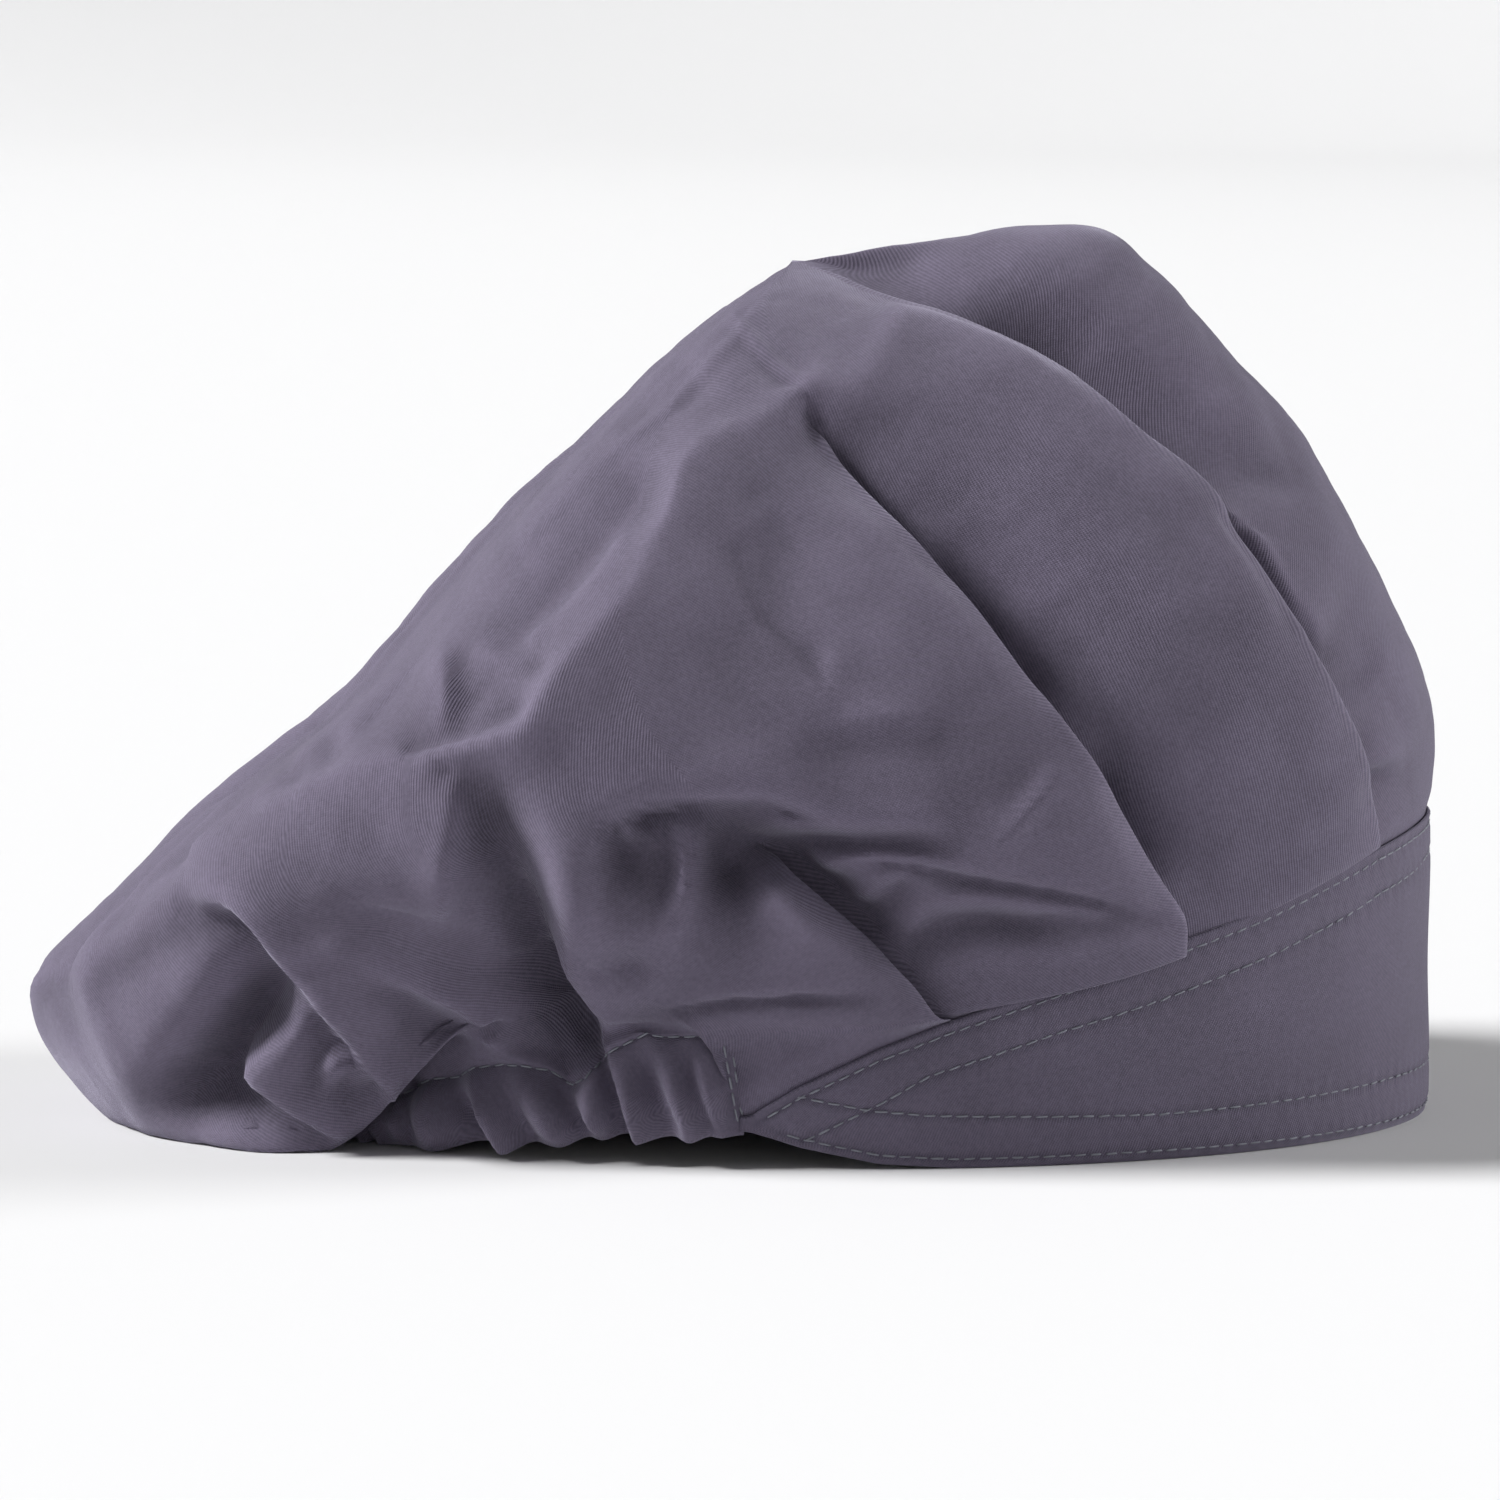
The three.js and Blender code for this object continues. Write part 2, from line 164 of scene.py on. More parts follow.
def unit(vectors):
    length = np.linalg.norm(vectors, axis=-1, keepdims=True)
    return vectors / np.maximum(length, 1e-9)


def running_length(points, axis):
    """How far each point is along its row or column, in millimetres."""
    steps = np.linalg.norm(np.diff(points, axis=axis), axis=-1)
    start = np.zeros_like(np.take(steps, [0], axis=axis))
    return np.concatenate([start, np.cumsum(steps, axis=axis)], axis=axis)


def grid_quads(rows, columns, start=0, ring=False, inward=False):
    row, column = np.meshgrid(
        np.arange(rows - 1), np.arange(columns if ring else columns - 1), indexing="ij"
    )
    after = (column + 1) % columns
    quads = [(row, column), (row + 1, column), (row + 1, after), (row, after)]
    quads = np.stack([r * columns + c for r, c in quads], -1).reshape(-1, 4) + start
    return quads[:, ::-1] if inward else quads


def cloth_object(name, points, faces, corners, crest=None):
    """A smooth-shaded mesh object. corners has each face corner's place on the flat cloth in mm."""
    mesh = bpy.data.meshes.new(name)
    mesh.from_pydata((points * MM).tolist(), [], [list(map(int, face)) for face in faces])
    weave = mesh.uv_layers.new(name="weave")
    weave.data.foreach_set("uv", np.concatenate([np.ravel(c) for c in corners]).astype(np.float32))
    # crest is a tone for each point: paler where the cloth rubs on crests, as wear, and darker in
    # creases, folds and stitch grooves, as painted shade.
    if crest is not None:
        wear_and_painted_shade = mesh.attributes.new("crest", "FLOAT", "POINT")
        wear_and_painted_shade.data.foreach_set("value", crest.astype(np.float32))
    mesh.shade_smooth()
    mesh.update()
    piece = bpy.data.objects.new(name, mesh)
    bpy.context.collection.objects.link(piece)
    triangles = sum(len(face) - 2 for face in faces)
    print(f"{name}: {len(points)} points, {triangles} triangles")
    return piece


# %% [markdown]
# ## The cap's measures
# These are the pattern maker's numbers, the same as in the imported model: the oval of the head
# opening, the band's and casing's edges, and the bag's form in rings from the seam up. Angles go
# round the opening in degrees, from 0 at the forehead over the right ear to 180 at the nape.

# %% Write down the measures
FRONT_X, BACK_X, WIDEST_X, HALF_WIDTH = 139.2, -91.0, 24.0, 77.0
BAND_EDGE = table("x top bottom", [
    (139.2, 59.4, 0.0), (126.5, 55.7, 0.0), (102.0, 46.5, 0.0), (67.0, 36.0, 0.0),
    (42.0, 28.0, 0.0), (28.0, 22.6, 0.9), (13.0, 15.4, 4.0), (3.4, 9.5, 7.0),
])
CASING_EDGE = table("x top bottom turned_in", [
    (3.4, 25.0, 7.0, 0.0), (-16.0, 24.0, 5.6, 2.0), (-30.0, 20.2, 4.6, 4.0),
    (-44.0, 17.6, 2.8, 5.0), (-58.0, 13.8, 1.4, 6.0), (-75.0, 11.0, 1.0, 7.0),
    (-91.0, 10.0, 1.0, 9.0),
])
BAND_END, BAND_TIP, CASING_START = 100.4, 101.2, 100.9
EDGE_STEP = (100.9, 102.3)
SEAM_GAP = 0.35

# The gathers pull the casing's seam down where they are deep: its height above or below the
# even line of the pattern, on the side that the photograph shows.
SEAM_DIPS = table("degrees dip", [
    (102.0, 0.0), (109.0, 0.2), (110.5, 0.9), (113.6, -0.6), (115.2, -1.8), (116.6, -4.8),
    (118.6, -6.0), (121.0, -2.6), (123.5, -0.8), (126.5, -0.2), (129.5, 0.2), (132.5, -1.2),
    (135.1, -0.6), (137.5, -1.6), (139.6, -3.4), (142.5, -2.0), (146.0, -1.2), (152.0, 0.0),
    (180.0, 0.0),
])

RINGS = table("front_x front_z side_x side_y side_z back_x back_z blunt pouch", [
    (139.9, 66.0, 21.0, 79.3, 29.0, -97.0, 15.0, 0.98, 0),
    (140.0, 73.0, 18.0, 81.0, 37.0, -107.0, 0.0, 0.95, 1),
    (138.0, 86.0, 10.0, 85.0, 50.0, -125.0, 0.0, 0.90, 1),
    (130.6, 102.5, 4.0, 87.0, 66.0, -140.5, 20.0, 0.85, 0),
    (122.5, 119.0, 0.0, 84.0, 84.0, -129.5, 35.3, 0.85, 0),
    (111.8, 137.0, 0.0, 77.0, 103.0, -109.5, 53.0, 0.90, 0),
    (98.2, 151.2, 2.0, 65.0, 123.0, -83.0, 73.5, 0.95, 0),
    (84.0, 167.0, 6.0, 48.0, 143.0, -56.0, 106.0, 1.00, 0),
    (66.0, 176.0, 10.0, 27.0, 160.0, -25.5, 135.0, 1.00, 0),
])
CROWN_TOP = np.array([12.0, 0.0, 169.0])
POUCH_TURN = (0.45, 0.77)
TOP_LEVEL = 10


def sideways(degrees):
    """The angle folded onto one side of the cap, from 0 at the front to 180 at the back."""
    turn = np.mod(degrees, 360.0)
    return np.minimum(turn, 360.0 - turn)


def opening(degrees):
    turn = np.radians(degrees)
    reach = np.where(np.cos(turn) >= 0, FRONT_X - WIDEST_X, WIDEST_X - BACK_X)
    level = np.zeros_like(turn)
    place = np.stack([WIDEST_X + reach * np.cos(turn), -HALF_WIDTH * np.sin(turn), level], -1)
    outward = unit(np.stack([np.cos(turn) / reach, -np.sin(turn) / HALF_WIDTH, level], -1))
    return place, outward


def crown_edge(degrees):
    """The height of the bag's sewn edge: over the band, then up at the ear and over the casing."""
    side = sideways(degrees)
    x = opening(degrees)[0][..., 0]
    on_band = look_up(BAND_EDGE, "x", x, "top")
    dips = look_up(SEAM_DIPS, "degrees", side, "dip") * np.where(np.mod(degrees, 360) <= 180, 1, 0.6)
    on_casing = look_up(CASING_EDGE, "x", x, "top") + dips
    stepped = smooth(*EDGE_STEP, side)
    behind = BAND_EDGE["top"][-1] * (1 - stepped) + on_casing * stepped
    return np.where(side <= BAND_END, on_band, behind)


# %% [markdown]
# ## The bag's smooth form
# Before it has any folds, the bag is a smooth balloon. Each column runs from the seam through
# nine rings to the top. Three pleats a side lean back as they rise, and the columns lean with
# them, so that a pleat always lies along a column and can be made crisp.

# %% Work out the smooth bag
PLEATS = [
    table("level degrees raise sink", [
        (0, 27.0, 0.1, 0.2), (2, 30.4, 2.2, 2.5), (4, 34.1, 4.6, 4.0), (6, 36.8, 5.0, 5.0),
        (8, 47.0, 3.6, 5.0), (10, 80.0, 0.0, 0.0),
    ]),
    table("level degrees raise sink", [
        (0, 56.6, 0.1, 0.2), (2, 57.5, 2.6, 4.0), (4, 62.0, 4.4, 6.0), (6, 68.4, 4.4, 5.5),
        (7, 75.0, 3.2, 4.5), (7.9, 83.2, 0.0, 0.0), (10, 105.0, 0.0, 0.0),
    ]),
    table("level degrees raise sink", [
        (0, 80.4, 0.1, 0.2), (1.5, 82.2, 1.4, 3.0), (2.5, 85.0, 1.6, 4.5), (3.2, 87.6, 1.2, 4.0),
        (3.7, 89.5, 0.0, 0.0), (4.4, 92.0, 0.0, 0.0), (10, 115.0, 0.0, 0.0),
    ]),
]
PLEAT_FEET = [pleat["degrees"][0] for pleat in PLEATS]
REAR_LEAN = 22.0
REAR_EASE_END = 106.4


def leaned(degrees, level):
    marks = [0.0, *PLEAT_FEET, BAND_END, 180.0]
    now = [0.0, *(np.interp(level, p["level"], p["degrees"]) for p in PLEATS),
           BAND_END + REAR_LEAN * level / len(RINGS["blunt"]), 180.0]
    side = np.interp(sideways(degrees), marks, now)
    return np.where(np.mod(degrees, 360) > 180, 360 - side, side)


def ring_points(number, degrees):
    ring = {name: values[number] for name, values in RINGS.items()}
    turn = np.radians(degrees)
    cos, sin = np.cos(turn), np.sin(turn)
    end_x = np.where(cos >= 0, ring["front_x"], ring["back_x"])
    end_z = np.where(cos >= 0, ring["front_z"], ring["back_z"])
    drop = cos * cos
    if ring["pouch"]:
        drop = np.where(cos < 0, smooth(*POUCH_TURN, np.abs(cos)), drop)
    return np.stack([
        ring["side_x"] + (end_x - ring["side_x"]) * np.abs(cos) ** ring["blunt"],
        -ring["side_y"] * np.sign(sin) * np.abs(sin) ** ring["blunt"],
        ring["side_z"] + (end_z - ring["side_z"]) * drop,
    ], -1)


def bag_form(degrees, levels):
    """Points of the smooth bag, rows by columns: a uniform spline through every column's rings."""
    foot = opening(degrees)[0]
    foot[..., 2] = crown_edge(degrees) + SEAM_GAP
    knots = [foot]
    for number in range(len(RINGS["blunt"])):
        knots.append(ring_points(number, leaned(degrees, number + 1)))
    knots.append(np.broadcast_to(CROWN_TOP, foot.shape))
    knots = [2 * knots[0] - knots[1], *knots, 2 * knots[-1] - knots[-2]]
    rows = []
    for level in levels:
        first = min(int(level), TOP_LEVEL - 1)
        t = level - first
        a, b, c, d = knots[first:first + 4]
        rows.append(0.5 * (2 * b + (c - a) * t + (2 * a - 5 * b + 4 * c - d) * t * t
                           + (3 * b - a - 3 * c + d) * t ** 3))
    form = np.array(rows)
    form[..., 2] = np.maximum(form[..., 2], 0.0)
    return form


def even_levels(count, first_step):
    """Levels whose rows are even up the cap's side, and closer at the seam by first_step."""
    fine = np.linspace(0, TOP_LEVEL, 400)
    length = running_length(bag_form(np.array([60.0, 100.0, 140.0]), fine), 0).mean(1)
    steps = first_step + (1 - first_step) * smooth(0, 0.16, np.linspace(0, 1, count))
    run = np.concatenate([[0], np.cumsum(steps)])
    return np.interp(run / run[-1] * length[-1], length, fine)[:-1]


ROW_COUNT, FIRST_STEP = 160, 0.4
print("rows of the bag:", len(even_levels(ROW_COUNT, FIRST_STEP)))

# %% [markdown]
# ## Where the cloth's columns run
# Along the seam the near side's columns stand about 1 mm apart, and the far side's twice as far.
# At a pleat eleven more columns run close together. They carry the pleat's cross section: the
# panel in front goes under the lip, turns back on itself, and comes out as the raised panel
# behind. This is what makes a real shadow under the lip, where a simple step would only look like
# a ridge.

# %% Lay out the columns
PLEAT_SECTION = table("flat folded share", [
    (-0.8, -0.8, 0.00), (-0.4, 1.8, 0.00), (0.0, 4.0, 0.04), (0.3, 4.8, 0.16),
    (0.6, 4.0, 0.34), (0.9, 1.7, 0.60), (1.1, 0.5, 0.78), (1.3, 0.0, 0.90),
    (1.5, 0.25, 0.98), (1.8, 0.9, 1.00), (2.3, 2.0, 1.00),
])
MM_PER_DEGREE = (1.5, 1.83, 1.99)  # along the seam, at each pleat
NEAR_STEP, FAR_STEP = 0.55, 1.2  # degrees from column to column


def crown_columns(step):
    """Seam angles of the near side's columns, and for each the pleat and section row or -1."""
    marks = [0.0, *PLEAT_FEET, BAND_END]
    angles, pleats, section = [], [], []
    for panel in range(4):
        start = marks[panel] + (PLEAT_SECTION["flat"][-1] / MM_PER_DEGREE[panel - 1] + step * 0.6
                                if panel else 0.0)
        end = marks[panel + 1]
        if panel < 3:
            end += PLEAT_SECTION["flat"][0] / MM_PER_DEGREE[panel] - step * 0.6
        spaced = np.linspace(start, end, round((end - start) / step) + 1)
        angles += list(spaced)
        pleats += [-1] * len(spaced)
        section += [0] * len(spaced)
        if panel < 3:
            angles += list(marks[panel + 1] + PLEAT_SECTION["flat"] / MM_PER_DEGREE[panel])
            pleats += [panel] * len(PLEAT_SECTION["flat"])
            section += range(len(PLEAT_SECTION["flat"]))
    step_end = EDGE_STEP[1]
    spaced = [100.65, *np.linspace(CASING_START, step_end, 6)[:-1],
              *np.linspace(step_end, 180, round((180 - step_end) / step) + 1)]
    angles += spaced
    pleats += [-1] * len(spaced)
    section += [0] * len(spaced)
    return np.array(angles), np.array(pleats), np.array(section)


near_side, far_side = crown_columns(NEAR_STEP), crown_columns(FAR_STEP)
columns = np.concatenate([near_side[0], 360 - far_side[0][-2:0:-1]])
pleat_of = np.concatenate([near_side[1], far_side[1][-2:0:-1]])
section_of = np.concatenate([near_side[2], far_side[2][-2:0:-1]])
side_sign = np.where(columns <= 180, 1.0, -1.0)
levels = even_levels(ROW_COUNT, FIRST_STEP)
print(len(columns), "columns and", len(levels), "rows")

# %% [markdown]
# ## Pleats as heights
# A pleat raises the panel behind it and sinks the panel in front, and both settle again towards
# the next pleat. The creases and the gathers further down are heights too. All of them run along
# the cloth's own outward direction, so they simply add up.

# %% Give the pleats their heights
def pleat_height(degrees, level):
    side = sideways(degrees)
    marks = [0.0, *PLEAT_FEET, REAR_EASE_END]
    height = np.zeros_like(side)
    for number, pleat in enumerate(PLEATS):
        ahead, here, behind = marks[number:number + 3]
        raised = np.interp(level, pleat["level"], pleat["raise"])
        sunk = -np.interp(level, pleat["level"], pleat["sink"])
        height += np.where(side < here, sunk * fade((here - side) / (here - ahead)),
                           raised * fade((side - here) / (behind - here)))
    return height


# %% [markdown]
# ## A map of creases
# Creased cloth is made of ridges and valleys with fairly straight cloth stretched between them.
# So the creases are drawn as lines on the side view, each point with its height over the smooth
# bag, and then a thin film is stretched over all of them. The film is a soap film on a grid of
# millimetres, which is easy to solve. It makes the facets between creases by itself, and where
# no crease is near it settles back to zero. Each crease also says how rounded it is.

# %% Draw the creases
CREASES = []


def smooth_path(path, parts=6):
    ends = np.concatenate([2 * path[:1] - path[1:2], path, 2 * path[-1:] - path[-2:-1]])
    t = np.arange(parts)[:, None] / parts
    spans = []
    for a, b, c, d in zip(ends, ends[1:], ends[2:], ends[3:]):
        spans.append(0.5 * (2 * b + (c - a) * t + (2 * a - 5 * b + 4 * c - d) * t * t
                            + (3 * b - a - 3 * c + d) * t ** 3))
    return np.concatenate([*spans, path[-1:]])


def crease(name, rounding, rows, drop=None):
    """rows are x, z and height in mm. rounding is in mm as well. drop is (side, gap, fall): the
    cloth falls away within the gap on that side of the line, as where one fold lies over another.
    With "both" sides it is a crisp pressed line."""
    path = smooth_path(np.array(rows, float))
    CREASES.append((name, path, rounding))
    if drop:
        side, gap, fall = drop
        go = np.gradient(path[:, :2], axis=0)
        left = unit(np.stack([-go[:, 1], go[:, 0]], -1))
        share = np.linspace(0, 1, len(path))
        for way in {"left": [1], "right": [-1], "both": [1, -1]}[side]:
            foot = path.copy()
            foot[:, :2] += left * gap * way
            foot[:, 2] -= fall * smooth(0, 0.2, share) * (1 - 0.7 * smooth(0.7, 1, share))
            CREASES.append((name + " foot", foot, rounding))


crease("shoulder crest", 0.8, [(-124, 41.5, 1.4), (-114.5, 49, 1.6), (-105.5, 55, 2), (-97.5, 59, 2.4),
    (-89.5, 63.5, 2.7), (-81.5, 69, 3), (-74, 73, 3), (-66, 76, 3.2), (-56.5, 78.5, 3.6),
    (-47, 80.5, 4.5), (-38, 83, 5.5), (-35, 87.5, 5.5), (-30, 94, 5.5), (-23, 101.5, 5),
    (-17, 108, 4.5), (-14.5, 114.5, 4), (-11, 121, 4), (-8.5, 128.5, 4), (-6, 132, 4),
    (-1, 136, 3.6), (6.5, 139, 3.2), (10.5, 143, 3), (16, 145, 3.5)])
crease("shoulder crease", 1.2, [(-102.5, 57, -0.5), (-108, 54, -1.5), (-115.5, 49, -2),
    (-123, 42.5, -1.5)])
crease("bag end crest", 2.2, [(-124, 41.5, 1.4), (-124.5, 37, 1.6), (-124, 30, 1.6),
    (-122.5, 24, 1.4), (-120.5, 17, 1), (-119, 11, 0.5)])
crease("bag end foot", 2, [(-131, 37, -1.5), (-131.5, 28, -2), (-129, 19, -1.5)])
crease("cheek crease", 1.6, [(-120, 31.5, -0.2), (-115, 35.5, -0.5), (-109, 40, -0.7),
    (-103, 42.5, -0.8), (-96.5, 45, -1.2)])
crease("cheek bulge", 4, [(-119, 15.5, 0.6), (-112.5, 27, 0.8), (-105, 36, 0.4)])
crease("cheek edge", 4, [(-97, 41, 0.2), (-100, 33, 0.8), (-105, 25, 1), (-111.5, 17, 0.8),
    (-114.5, 11, 0.3)])
crease("nape fold start", 2, [(-104, 48.5, -1), (-99.5, 47.5, -3), (-94.5, 46.5, -4.2)])
crease("pouch hollow", 1.6, [(-86, 36, -7), (-90.5, 29.5, -11), (-95.5, 22.5, -13), (-101, 15.5, -12.5),
    (-106, 10.5, -9)])
crease("pouch hollow floor", 2, [(-106.5, 10, -7.5), (-99, 9, -9), (-92, 8.5, -7), (-87, 7, -3.5)])
crease("pouch rim", 2, [(-121.5, 3.5, 0.2), (-113, 2, 0.1), (-102.5, 1.5, -0.2), (-90.5, 1, -0.4),
    (-79, 0.5, -0.4)])
crease("nape fold", 0.8, [(-102, 50, 0.8), (-98, 50.5, 2.2), (-93, 49.5, 3.6), (-89.5, 47, 4.2),
    (-86.5, 42.5, 4.2), (-83.5, 38.5, 4.2), (-79.5, 33.5, 4.2), (-76, 28.5, 4), (-72, 23.5, 3.6),
    (-68.5, 18, 3.2), (-65.5, 13.5, 2.8), (-63, 7, 2.2), (-60, 2.5, 1.6)], drop=("right", 2.4, 7))
crease("second lobe", 0.9, [(-80, 29, -2), (-84, 25, -1), (-89, 20.5, 0), (-93.5, 16.3, 0.4),
    (-92, 13.6, 0.6), (-86, 9.5, 1), (-81.5, 6.5, 1.2), (-75, 3, 1), (-70.5, 0, 0.6)],
    drop=("right", 1.8, 5))
crease("second lobe crest", 2, [(-82, 23, -0.8), (-87, 17, 0.2)])
crease("lobe crease", 1.2, [(-74.5, 26, -1), (-77.5, 22.5, -2.6), (-79, 17.5, -2.6),
    (-79.5, 12.5, -1.6)])
crease("pocket rim", 1.2, [(-77.5, 14, 0.3), (-76.5, 18, 1.2), (-73.5, 19.5, 1.5),
    (-71, 17.5, 1.3), (-69.5, 14, 0.6)])
crease("pocket", 1.5, [(-73.5, 14.5, -2.6), (-72.5, 9.5, -3.2)])
crease("panel wrinkle", 0.8, [(-84, 38.4, 3.6), (-80, 39.3, 2.7), (-76, 40.6, 2.6), (-71.5, 41.2, 2.8)],
    drop=("left", 1.7, -0.7))
crease("facet ridge", 0.8, [(-71.5, 41.2, 3), (-63.5, 37, 3.8), (-60, 35.5, 4.2), (-55.5, 33.5, 4.6),
    (-51, 30.5, 4.2), (-48, 27, 3.6), (-45, 22.5, 2.6), (-42.5, 19, 1.4)], drop=("right", 2.2, 3.2))
crease("facet panel", 3, [(-80, 46, 1.6), (-71, 49, 1.8), (-61.5, 46.5, 2.4)])
crease("facet hollow", 2.2, [(-62, 31.5, -1.4), (-58.5, 27.5, -1.8), (-53.5, 23, -1.4),
    (-50.5, 18.5, -0.8)])
crease("facet bank", 1.2, [(-64.5, 32, 1.8), (-65, 28.5, 1.6), (-65.5, 23.5, 1.4), (-64.5, 19, 0.6)])
crease("trough bank", 1, [(-52.5, 76, 1), (-51.5, 73, 2.4), (-51.5, 68.5, 3.2),
    (-52.5, 63, 3.6), (-53.5, 57, 3.4), (-55, 50.5, 2.8), (-57, 45.5, 1.6)])
crease("nape panel", 3, [(-84, 54, 1.4), (-73, 57, 1.8), (-63, 55, 2.4)])
crease("trough brow", 2.2, [(-49, 75.5, 0.6), (-43, 75, 1.2), (-37.5, 72.5, 1.8), (-34, 67, 2.2),
    (-32, 60, 2.8), (-31, 52.5, 3.4), (-31, 44.5, 3.6), (-30.5, 37, 3.6), (-27.5, 30, 3.4),
    (-25, 25, 2.8)])
crease("trough floor", 2.2, [(-45.5, 71, -3.4), (-44.5, 65.5, -4.4), (-41.5, 58, -5.4),
    (-39, 50, -7.4), (-38, 42, -9.4), (-36, 35, -10.5), (-33, 29, -10.5), (-29.5, 24.5, -9)])
crease("trough mouth", 0.9, [(-29.5, 24.5, -9), (-25.5, 20.5, -6.6), (-22.5, 15.5, -5.6),
    (-20.5, 10.5, -4.8), (-19, 5, -3.6)])
crease("trough step", 1, [(-49, 53.5, -0.4), (-47.5, 49, -0.4), (-46, 43.5, -1), (-43.5, 38.5, -2),
    (-41, 31.5, -3)])
crease("trough slope", 3, [(-53, 41.5, 1), (-47.5, 33.5, 1), (-40, 23.5, -0.5), (-32.5, 19.5, -1.4)])
crease("light column", 3, [(-31, 70.5, 1.8), (-28, 62, 2.6), (-26.5, 52.5, 2.8),
    (-24.5, 44.5, 2.2), (-21, 35.5, 1.8), (-17, 33, 1.6)])
crease("hollow brow", 1.4, [(-24.5, 62, 1.2), (-24, 67, 2), (-22.5, 71, 2.4), (-17, 74, 2.4),
    (-11.5, 76, 2.4), (-5, 77, 2.4), (1.5, 77, 2.4), (9, 75.5, 1.8), (16, 72.5, 1)])
crease("hollow edge", 0.6, [(-21.5, 66, 0.8), (-18, 69.8, 1.4), (-9.5, 72, 1.8), (-3.8, 72.6, 1.8),
    (7.8, 72, 1.6), (14.4, 69.7, 0.8), (18.4, 68.6, 0.2)], drop=("right", 1.8, 6.5))
crease("hollow left", 1.6, [(-21.5, 67, -3.2), (-21, 62.5, -5), (-18.5, 57, -3.6)])
crease("hollow crease", 0.9, [(-12.5, 69, -3.2), (-12, 64, -4), (-11.8, 57.5, -3.8),
    (-13.5, 52.5, -2)])
crease("hollow ridge", 0.9, [(-9.5, 69.5, -1.6), (-8.8, 62.5, -0.2), (-8.5, 55.5, 0.6), (-10, 50, 1),
    (-15, 42, 1)])
crease("hollow left ridge", 1.2, [(-18, 50, 0.6), (-16, 45, 1.2), (-14, 39, 1.2), (-18, 33.5, 0.8)])
crease("hollow deep", 2, [(1, 70.5, -6), (-0.5, 64, -9), (-2, 57.5, -10.5), (1, 54.5, -11)])
crease("hollow pit", 2, [(3.5, 62.5, -11), (11, 59, -12), (17, 54, -10), (22.5, 49, -7.5),
    (29, 43, -4.5)])
crease("hollow tail", 1.6, [(11, 63, -10.5), (20.5, 62.8, -8), (28, 63, -5.8), (35.5, 63.5, -3.6),
    (41.5, 63, -1.6)])
crease("tail brow", 1.8, [(7.5, 69, -2.4), (13, 67, -0.8), (20.5, 67.5, 0.4), (28, 67.5, 1),
    (37.5, 67.5, 1)])
crease("small facet edge", 0.8, [(33, 60, 0.6), (30.5, 56.5, -0.2), (27, 53, -1.4), (24.5, 50, -3.2)])
crease("small facet", 2, [(20, 58, -4.4), (24.5, 56, -2.4), (28, 58, -1)])
crease("dark facet", 1.2, [(33, 55, -2), (30.5, 50.5, -3.6), (28.5, 47, -4.4)])
crease("light rib", 1.2, [(37, 57, 0.6), (35.5, 51.5, 0.5), (33.5, 45.5, -1)])
crease("long crease", 0.6, [(17.5, 58.5, -3), (29, 60.8, -1.2), (38.5, 59.6, 0.3), (48, 57.2, 0.5),
    (62.5, 54.7, 0.6), (72, 52.4, 0.5), (84.5, 47.6, 0.2)], drop=("right", 1.8, 2.4))
crease("second crease", 0.9, [(34, 41, -2.4), (40.5, 45, -2.6), (48, 47, -3), (56, 46.5, -2.6),
    (62.5, 48.2, -1.2), (72, 47.5, -0.5)])
crease("flank rib", 1.6, [(39, 52.5, 1), (48.5, 53, 1.4), (58, 51.5, 1.3), (69.5, 49.5, 0.8)])
crease("flank low rib", 1.6, [(38, 37.5, 0.4), (46, 41, 1), (56, 41.5, 1.3), (66, 43, 1.2),
    (76, 43.5, 0.6)])
crease("bright rib", 0.5, [(46, 61.5, 0.3), (50.5, 64, 0.9), (55, 69, 1.5), (59, 73, 1.7),
    (61.5, 76.5, 1.2)], drop=("left", 1.7, 0.7))
crease("bright rib dent", 1.5, [(50.5, 69.5, -0.3), (54.5, 73, -0.3), (57.5, 76, 0)])
crease("facet side", 0.6, [(61.5, 76.5, 0.7), (56.5, 68.5, 0.4), (51.5, 63.5, 0.2), (47, 59.5, 0.1)])
crease("flank line", 0.5, [(58, 83, 0.5), (60.5, 77.5, 0.9), (62, 71, 0.7)], drop=("both", 1.7, 0.5))
crease("panel crease", 0.6, [(-17, 30, -0.6), (-10, 31.8, 0.2), (-1.5, 33.8, 0.5), (12, 35, 0.5),
    (24, 35.8, 0.2)], drop=("right", 1.8, 2.2))
crease("low panel crease", 0.9, [(4, 24.8, -0.4), (12.5, 24, -1), (19, 24.8, -0.4)])
crease("panel bulge", 2.5, [(-7.5, 29, 1), (1.5, 31, 1.2), (13, 31, 1.2), (24.5, 30, 0.8)])
crease("panel dimple", 2, [(-25.5, 39, -0.8), (-17, 39.5, -0.9)])
crease("lip nick", 0.9, [(6, 52, -0.8), (8.5, 50, -1.4), (10.5, 47.5, -0.8)])
crease("cross line long", 0.5, [(-1, 161, 1), (2.5, 156.5, 1.5), (6.5, 152, 1.8), (10.5, 148, 2),
    (14, 146, 2.8), (16.5, 145, 3.6)], drop=("both", 1.7, 0.8))
crease("cross line short", 0.5, [(11.5, 166, 1), (7.5, 162, 1.3), (4, 158, 1.5), (0.5, 154, 1.3),
    (-4, 149.5, 1), (-8, 146.5, 0.4), (-13, 141, 0.6), (-19, 136, 0.8)], drop=("both", 1.7, 0.6))
crease("knob edge", 0.9, [(16, 145, 3.6), (13, 143.5, 3.4), (11, 142, 3.2), (9.5, 139.5, 2.6),
    (7.5, 137, 1.8)])
crease("cleft", 1, [(15, 142, -0.8), (15.5, 137.5, -1.4)])
crease("knob brow", 1.2, [(34, 159, 1.4), (31.5, 156, 2.2), (29.5, 151, 2.6), (26, 146.5, 2.6),
    (22, 144, 2.6), (18, 144.5, 3)])
